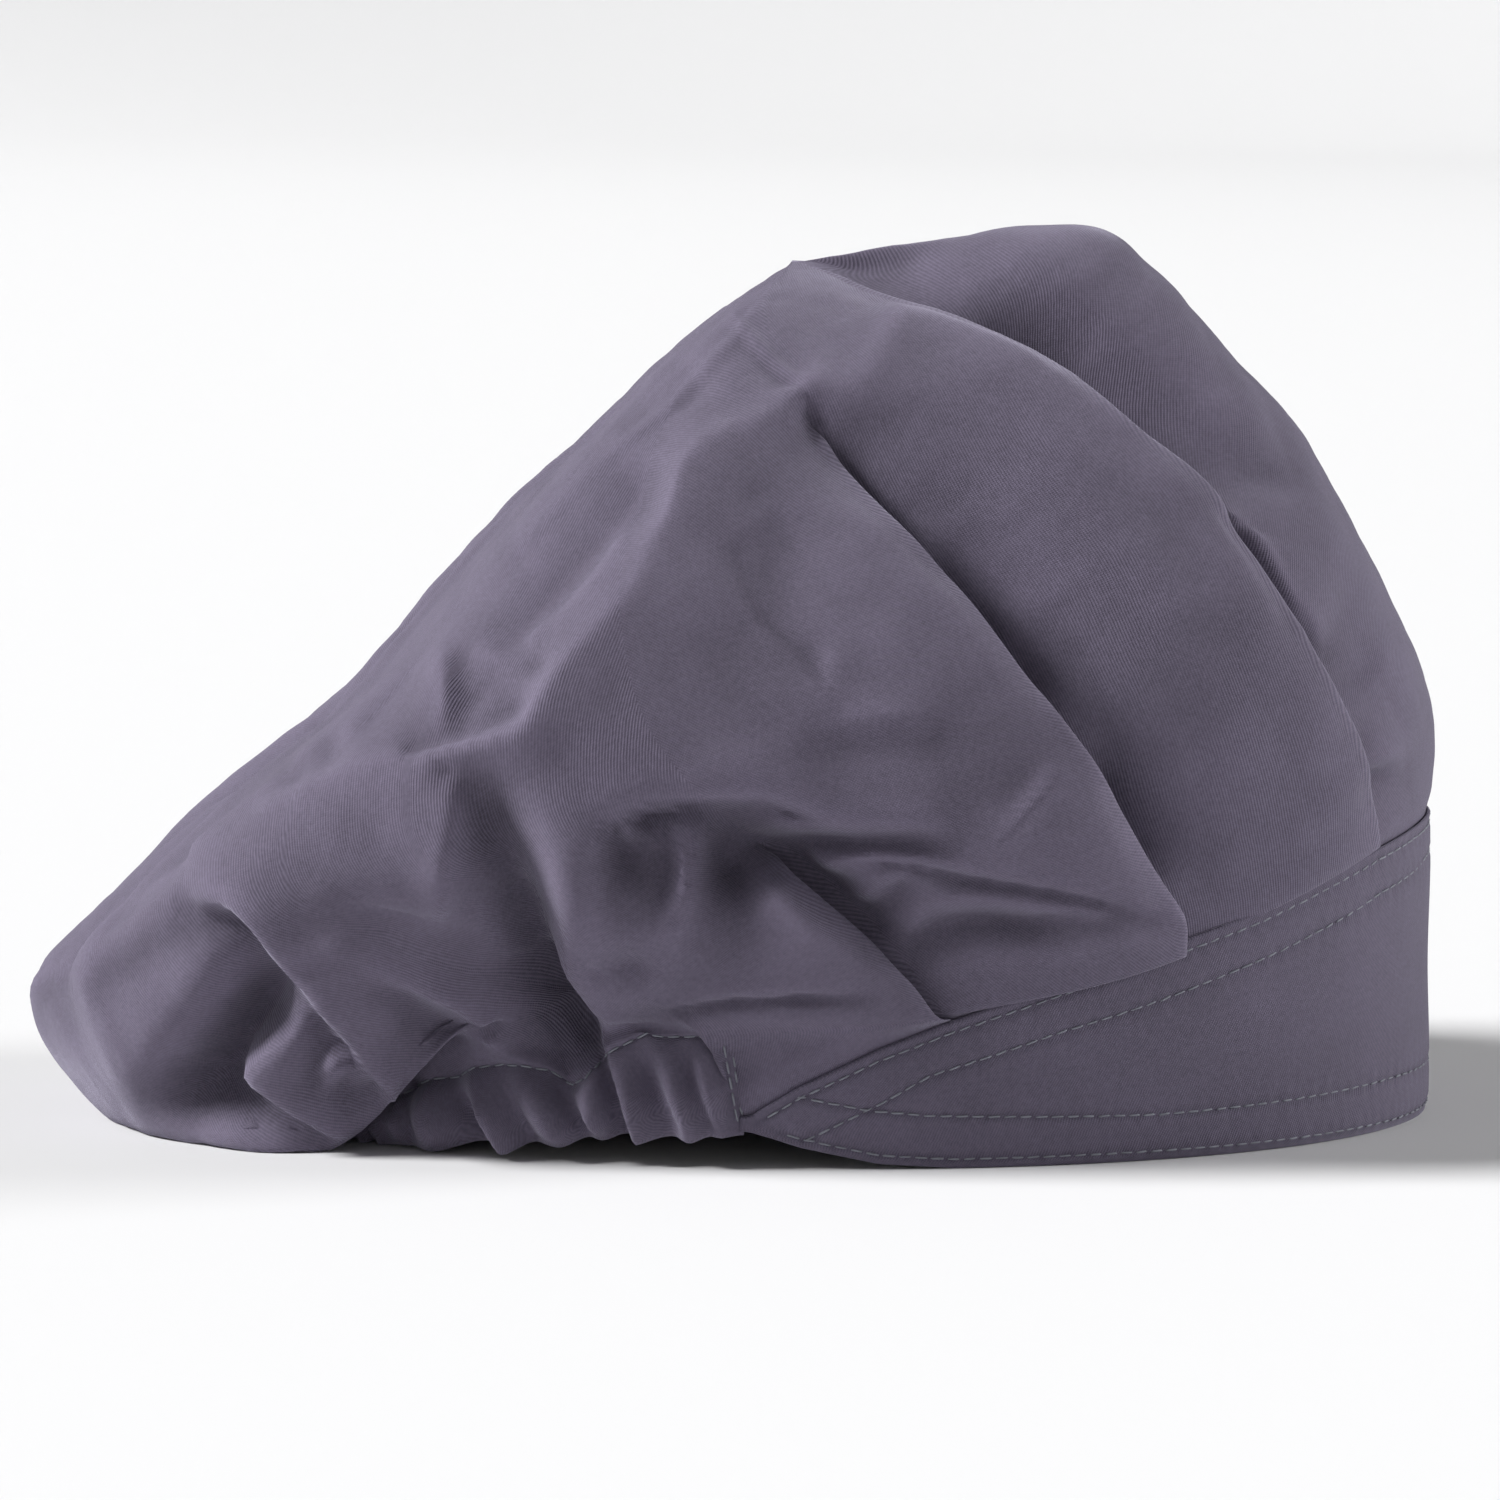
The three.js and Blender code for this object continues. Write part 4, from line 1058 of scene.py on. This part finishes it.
for inward, down in ((0.5, 0.55), (1.2, 0.75), (1.9, 0.5)):
    casing_rows.append(hem_row - outward * inward - np.array([0, 0, down]))
for share in (0.85, 0.6, 0.3, 0.08):
    under = casing_rows[round(share * (CASING_OUTSIDE_ROWS - 1))]
    casing_rows.append(under - outward * 2.1 + np.array([0, 0, 0.2]))
casing_rows.append(edge_row - outward * 2.0 - np.array([0, 0, 0.6]))
casing = np.array(casing_rows)[::-1]
casing[..., 2] = np.maximum(casing[..., 2], 0.1)
print("the casing spans", np.round(casing.min((0, 1)), 1), np.round(casing.max((0, 1)), 1))

# %% Make the casing's mesh
def closed_strip(name, grid, twill, crest=None):
    """A closed body from a grid whose rows run once round its section: its two ends are capped."""
    rows, count = grid.shape[:2]
    loop = np.concatenate([grid, grid[:1]])
    quads = grid_quads(rows + 1, count)
    quads = np.where(quads >= rows * count, quads - rows * count, quads)
    across = running_length(loop, 1) - running_length(loop, 1)[:, count // 2:count // 2 + 1]
    up = running_length(loop, 0)
    turn = math.radians(twill)
    flat = np.stack([across * math.sin(turn) + up * math.cos(turn),
                     up * math.sin(turn) - across * math.cos(turn)], -1)
    low, high = flat[:-1], flat[1:]
    corners = np.stack([low[:, :-1], high[:, :-1], high[:, 1:], low[:, 1:]], 2)
    caps, cap_corners = [], []
    for column, flip in ((0, False), (count - 1, True)):
        ring = [row * count + column for row in range(rows)]
        caps.append(ring[::-1] if not flip else ring)
        cap_corners.append(np.zeros((rows, 2)))
    faces = [*quads.tolist(), *caps]
    return cloth_object(name, grid.reshape(-1, 3), faces, [corners, *cap_corners], crest)


casing_cloth = closed_strip("casing_cloth", casing, 24.0)

# %% [markdown]
# ## The band
# The band is two layers of twill with a folded lower edge. Its upper edge lies over the bag, so
# in section it is a narrow U turned upside down with the bag's edge tucked in: outside face, top
# edge, a slot, top edge of the facing, inside face, and the fold below. Each line of stitches
# presses a shallow groove and puckers the cloth a little.

# %% Shape the band
BAND_PROUD = 0.45
STITCH_LINES = {
    "top line": table("degrees up", [(0, 57.4), (180, 0)]),
    "slanted line": table("degrees up", [
        (0, 51.8), (10.0, 51.4), (27.4, 47.2), (40.2, 41.2), (54.1, 34.1), (60.0, 30.9),
        (70.8, 25.5), (83.2, 17.9), (88.0, 12.4), (95.3, 5.1),
    ]),
    "level line": table("degrees up", [
        (0, 10.0), (24.3, 10.2), (47.4, 9.2), (60.0, 8.8), (70.8, 9.4), (83.2, 10.2),
        (89.0, 11.3), (95.7, 13.9),
    ]),
}
EDGE_MARGIN = 1.8


def band_edges(degrees):
    x = opening(degrees)[0][..., 0]
    return look_up(BAND_EDGE, "x", x, "bottom"), look_up(BAND_EDGE, "x", x, "top")


def line_height(name, degrees):
    low, high = band_edges(degrees)
    side = sideways(degrees)
    if name == "top line":
        return high - EDGE_MARGIN
    if name == "bottom line":
        return low + EDGE_MARGIN
    return np.interp(side, STITCH_LINES[name]["degrees"], STITCH_LINES[name]["up"])


LINE_ENDS = {"top line": 99.4, "bottom line": 98.0, "slanted line": 95.3, "level line": 95.7}


def stitch_groove(degrees, z):
    """1 along the band's lines of stitches, and 0 between them."""
    groove = np.zeros(np.broadcast(degrees, z).shape)
    for name, end in LINE_ENDS.items():
        on_line = 1 - smooth(end - 1, end + 1, sideways(degrees))
        groove += np.exp(-((z - line_height(name, degrees)) / 0.75) ** 2) * on_line
    return groove


def band_relief(degrees, z):
    """Grooves and puckers along the stitch lines, and a slow wave of the whole band."""
    side = sideways(degrees)
    relief = -0.42 * stitch_groove(degrees, z)
    for number, name in enumerate(LINE_ENDS):
        on_line = 1 - smooth(LINE_ENDS[name] - 1, LINE_ENDS[name] + 1, side)
        pucker = np.sin(side * 2.9 + number * 1.7 + 0.7 * np.sin(side * 0.83 + number))
        relief += 0.09 * pucker * np.exp(-((z - line_height(name, degrees)) / 3.4) ** 2) * on_line
    relief += 0.35 * np.sin(np.radians(degrees) * 3.1 + z / 17) * np.sin(z / 9 + 1)
    return relief * smooth(0, 2.0, line_height("top line", degrees) + EDGE_MARGIN - z + 1.0)


near_band = np.linspace(0, BAND_TIP, 170)
band_columns = np.concatenate([-near_band[:0:-1], near_band])
BAND_ROWS = 40
low, high = band_edges(band_columns)
place, outward = opening(band_columns)
tall = high - low
band_rows = []


def band_row(z, out):
    row = place + outward * np.reshape(out, (-1, 1))
    row[:, 2] = z
    band_rows.append(row)


slot = np.minimum(4.2, tall * 0.45)
# The band is painted darker along its stitch grooves: painted shade in the grooves.
band_painted_groove_shade = []
for share in np.linspace(0.03, 1, BAND_ROWS):
    z = low + tall * share
    band_row(z, BAND_PROUD + band_relief(band_columns, z))
    band_painted_groove_shade.append(-1.6 * stitch_groove(band_columns, z))
for out, up in ((0.2, 0.42), (-0.25, 0.5), (-0.6, 0.2)):
    band_row(high + up, out + np.zeros_like(high))
for out, down in ((-0.72, 0.35), (-0.75, 0.9), (-1.3, 1.0), (-1.85, 0.9), (-1.95, 0.35)):
    band_row(high - slot * down, out + np.zeros_like(high))
for out, up in ((-2.1, -0.3), (-2.4, -0.2), (-2.75, -0.7)):
    band_row(high + up, out + np.zeros_like(high))
for share in (0.85, 0.6, 0.35, 0.12, 0.03):
    band_row(low + tall * share, -2.75 + np.zeros_like(high))
for out, up in ((-2.3, 0.12), (-1.2, 0.02), (0.0, 0.15)):
    band_row(low + up, out + np.zeros_like(high))
band = np.array(band_rows)
band_painted_groove_shade += [np.zeros_like(high)] * (len(band) - BAND_ROWS)
band_cloth = closed_strip("band_cloth", band, 64.0, np.ravel(band_painted_groove_shade))

# %% [markdown]
# ## Stitches
# Each stitch is a short sunk thread about 2.5 mm long. One small rounded thread is made once and
# copied along every line as a joined mesh. Each copy is turned a degree or two and varies a
# little in length, because a machine's stitches are never all alike.

# %% Sew the stitch lines
STITCH_PITCH, STITCH_LENGTH, THREAD = 3.1, 2.35, 0.21
SEAM_THREAD_OUT, EAR_THREAD_OUT = 0.25, 0.9
EAR_LINES = ((102.7, 24.0, 8.0), (101.9, 15.0, 7.8))  # degrees, top and foot of each line
EAR_LEAN = 0.09  # degrees for each millimetre down


def thread_shape(around=6):
    """A rounded bar along x, with its ends bent down into the cloth."""
    stations = table("x size down", [
        (-0.5, 0.35, 0.30), (-0.44, 0.80, 0.10), (-0.25, 1.0, 0.0), (0.0, 1.0, -0.04),
        (0.25, 1.0, 0.0), (0.44, 0.80, 0.10), (0.5, 0.35, 0.30),
    ])
    turn = np.arange(around) / around * 2 * math.pi
    rings = [np.stack([np.full(around, x), size * np.cos(turn), size * np.sin(turn) - down * 1.6], -1)
             for x, size, down in zip(*stations.values())]
    count = len(rings)
    faces = [tuple(q) for q in grid_quads(count, around, ring=True)]
    faces += [tuple(range(around)), tuple((count - 1) * around + k for k in reversed(range(around)))]
    return np.concatenate(rings), faces


def along_line(line, outward, pitch):
    """Places, directions and outward directions every pitch along a line of points."""
    run = running_length(line, 0)
    at = np.arange(pitch * 0.5, run[-1] - pitch * 0.3, pitch)
    where = np.stack([np.interp(at, run, line[:, k]) for k in range(3)], -1)
    ahead = np.stack([np.interp(at + 0.6, run, line[:, k]) for k in range(3)], -1)
    behind = np.stack([np.interp(at - 0.6, run, line[:, k]) for k in range(3)], -1)
    facing = np.stack([np.interp(at, run, outward[:, k]) for k in range(3)], -1)
    return where, unit(ahead - behind), unit(facing)


def sew(name, lines, seed):
    """One joined mesh of stitches along several lines, each given as (points, outward)."""
    chance = np.random.default_rng(seed)
    shape, shape_faces = thread_shape()
    points, faces = [], []
    for line, outward in lines:
        where, along, facing = along_line(line, outward, STITCH_PITCH)
        for place, way, out in zip(where, along, facing):
            beside = unit(np.cross(out, way))
            slant = chance.uniform(-0.02, 0.09)
            way = unit(way + beside * slant)
            beside = unit(np.cross(out, way))
            out = np.cross(way, beside)
            long = STITCH_LENGTH * chance.uniform(0.92, 1.05)
            wide = THREAD * chance.uniform(0.9, 1.1)
            start = len(points) * len(shape)
            points.append(place + shape[:, :1] * long * way + shape[:, 1:2] * wide * beside
                          + shape[:, 2:] * wide * out)
            faces += [tuple(start + k for k in face) for face in shape_faces]
    points = np.concatenate(points)
    corners = [np.zeros((sum(len(face) for face in faces), 2))]
    return cloth_object(name, points, faces, corners)


def band_line(name):
    side = np.linspace(-LINE_ENDS[name], LINE_ENDS[name], 400)
    z = line_height(name, side)
    place, outward = opening(side)
    out = BAND_PROUD + band_relief(side, z) + 0.12
    line = place + outward * out[:, None]
    line[:, 2] = z
    return line, outward


band_stitches = sew("band_stitches", [band_line(name) for name in LINE_ENDS], 3)

seam_line = casing[-1]
casing_outward = opening(casing_columns)[1]
casing_lines = [(seam_line + casing_outward * SEAM_THREAD_OUT, casing_outward)]
ear_lines = []
for sign in (1, -1):
    for degrees, top, foot in EAR_LINES:
        z = np.linspace(top, foot, 12)
        angle = (degrees - (top - z) * EAR_LEAN) * sign
        place, outward = opening(angle)
        line = place + outward * EAR_THREAD_OUT
        line[:, 2] = z
        ear_lines.append((line, outward))
casing_stitches = sew("casing_stitches", casing_lines + ear_lines, 4)

# %% [markdown]
# ## The finishes
# The cloth is a cotton twill, dyed a dusty violet grey. Close up it has fine diagonal ribs about
# 0.54 mm apart, crossed by single threads. The ribs are bump and a little tone, made from the
# flat cloth's own coordinates. A fine grain stands for the fibres. The dye is uneven, and the cloth
# is paler on the crests where it rubs. It is painted darker in its creases, deep folds and stitch
# grooves, which is painted shade, and the band's copy of the twill is painted a little darker as
# painted shade too. The short fibres give the cloth a soft sheen at grazing angles.

# %% Make the twill
def new_material(name):
    material = bpy.data.materials.new(name)
    material.use_nodes = True
    return material, material.node_tree, material.node_tree.nodes["Principled BSDF"]


def add(tree, kind, **settings):
    node = tree.nodes.new(kind)
    for key, value in settings.items():
        if key in node.inputs:
            node.inputs[key].default_value = value
        else:
            setattr(node, key, value)
    return node


def twill_material(name, color, wear_and_shade_gain=0.12, rib=0.54):
    material, tree, shader = new_material(name)
    link = tree.links.new
    weave = add(tree, "ShaderNodeUVMap", uv_map="weave")
    split = add(tree, "ShaderNodeSeparateXYZ")
    link(weave.outputs["UV"], split.inputs[0])

    def wave(socket, period, wobble=None):
        turn = add(tree, "ShaderNodeMath", operation="MULTIPLY")
        turn.inputs[1].default_value = 2 * math.pi / period
        link(socket, turn.inputs[0])
        value = turn.outputs[0]
        if wobble is not None:
            summed = add(tree, "ShaderNodeMath", operation="ADD")
            link(value, summed.inputs[0])
            link(wobble, summed.inputs[1])
            value = summed.outputs[0]
        sine = add(tree, "ShaderNodeMath", operation="SINE")
        link(value, sine.inputs[0])
        return sine.outputs[0]

    place = add(tree, "ShaderNodeTexCoord")
    jitter = add(tree, "ShaderNodeTexNoise", Scale=420.0, Detail=1.0)
    link(place.outputs["Object"], jitter.inputs["Vector"])
    spread = add(tree, "ShaderNodeMath", operation="MULTIPLY")
    spread.inputs[1].default_value = 2.4
    link(jitter.outputs["Fac"], spread.inputs[0])
    ribs = wave(split.outputs["X"], rib, spread.outputs[0])
    threads = wave(split.outputs["Y"], rib * 0.8, spread.outputs[0])
    mixed = add(tree, "ShaderNodeMath", operation="MULTIPLY_ADD")
    mixed.inputs[1].default_value = 0.35
    link(threads, mixed.inputs[0])
    link(ribs, mixed.inputs[2])

    blotch = add(tree, "ShaderNodeTexNoise", Scale=38.0, Detail=3.0, Roughness=0.6)
    link(place.outputs["Object"], blotch.inputs["Vector"])
    tone = add(tree, "ShaderNodeMapRange")
    tone.inputs["From Min"].default_value = 0.3
    tone.inputs["From Max"].default_value = 0.7
    tone.inputs["To Min"].default_value = 0.60
    tone.inputs["To Max"].default_value = 0.78
    link(blotch.outputs["Fac"], tone.inputs["Value"])

    grain = add(tree, "ShaderNodeTexNoise", Scale=1100.0, Detail=2.0, Roughness=0.7)
    link(place.outputs["Object"], grain.inputs["Vector"])
    speckled = add(tree, "ShaderNodeMath", operation="MULTIPLY_ADD")
    speckled.inputs[1].default_value = 0.62
    link(grain.outputs["Fac"], speckled.inputs[0])
    link(tone.outputs["Result"], speckled.inputs[2])

    # The crest attribute paints the cloth paler on rubbed crests, as wear, and darker in creases, deep
    # folds and stitch grooves, as painted shade.
    crest = add(tree, "ShaderNodeAttribute", attribute_name="crest")
    wear_and_painted_shade = add(tree, "ShaderNodeMath", operation="MULTIPLY_ADD")
    wear_and_painted_shade.inputs[1].default_value = wear_and_shade_gain
    link(crest.outputs["Fac"], wear_and_painted_shade.inputs[0])
    link(speckled.outputs[0], wear_and_painted_shade.inputs[2])
    rib_tone = add(tree, "ShaderNodeMath", operation="MULTIPLY_ADD")
    rib_tone.inputs[1].default_value = 0.16
    link(mixed.outputs[0], rib_tone.inputs[0])
    link(wear_and_painted_shade.outputs[0], rib_tone.inputs[2])

    tint = add(tree, "ShaderNodeVectorMath", operation="SCALE")
    tint.inputs[0].default_value = color
    link(rib_tone.outputs[0], tint.inputs["Scale"])
    link(tint.outputs["Vector"], shader.inputs["Base Color"])

    rough = add(tree, "ShaderNodeMapRange")
    rough.inputs["To Min"].default_value = 0.78
    rough.inputs["To Max"].default_value = 0.92
    link(blotch.outputs["Fac"], rough.inputs["Value"])
    link(rough.outputs["Result"], shader.inputs["Roughness"])

    ribs_bump = add(tree, "ShaderNodeBump", Strength=0.35, Distance=0.00012)
    link(mixed.outputs[0], ribs_bump.inputs["Height"])
    link(ribs_bump.outputs["Normal"], shader.inputs["Normal"])
    shader.inputs["Specular IOR Level"].default_value = 0.25
    shader.inputs["Sheen Weight"].default_value = 0.25
    shader.inputs["Sheen Roughness"].default_value = 0.45
    shader.inputs["Sheen Tint"].default_value = (0.85, 0.82, 1.0, 1)
    return material


def thread_material(name, color):
    material, tree, shader = new_material(name)
    place = add(tree, "ShaderNodeTexCoord")
    ply = add(tree, "ShaderNodeTexNoise", Scale=900.0, Detail=2.0)
    tree.links.new(place.outputs["Object"], ply.inputs["Vector"])
    tone = add(tree, "ShaderNodeMapRange")
    tone.inputs["To Min"].default_value = 0.75
    tone.inputs["To Max"].default_value = 1.25
    tree.links.new(ply.outputs["Fac"], tone.inputs["Value"])
    tint = add(tree, "ShaderNodeVectorMath", operation="SCALE")
    tint.inputs[0].default_value = color
    tree.links.new(tone.outputs["Result"], tint.inputs["Scale"])
    tree.links.new(tint.outputs["Vector"], shader.inputs["Base Color"])
    bump = add(tree, "ShaderNodeBump", Strength=0.4, Distance=0.00008)
    tree.links.new(ply.outputs["Fac"], bump.inputs["Height"])
    tree.links.new(bump.outputs["Normal"], shader.inputs["Normal"])
    shader.inputs["Roughness"].default_value = 0.6
    shader.inputs["Specular IOR Level"].default_value = 0.4
    return material


CLOTH_COLOR = (0.112, 0.096, 0.140)
crown_twill = twill_material("crown twill", CLOTH_COLOR)
# The band's twill is the same cloth painted 7 percent darker: painted shade.
band_twill = twill_material("band twill", tuple(0.93 * c for c in CLOTH_COLOR), rib=0.5)
casing_twill = twill_material("casing twill", CLOTH_COLOR)
sewing_thread = thread_material("sewing thread", (0.18, 0.185, 0.22))
crown_cloth.data.materials.append(crown_twill)
band_cloth.data.materials.append(band_twill)
casing_cloth.data.materials.append(casing_twill)
for stitches in (band_stitches, casing_stitches):
    stitches.data.materials.append(sewing_thread)

# %% [markdown]
# ## Hand over
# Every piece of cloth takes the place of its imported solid, and everything rides on the one body.

# %% Tie the pieces to the frame
for piece, node, slot_name in (
    (crown_cloth, "crown", "crown_twill"),
    (band_cloth, "front_band", "band_twill"),
    (casing_cloth, "elastic_casing", "casing_twill"),
):
    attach(piece, "root")
    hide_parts(node)
for piece, slot_name in ((band_stitches, "band_twill"), (casing_stitches, "casing_twill")):
    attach(piece, "root")
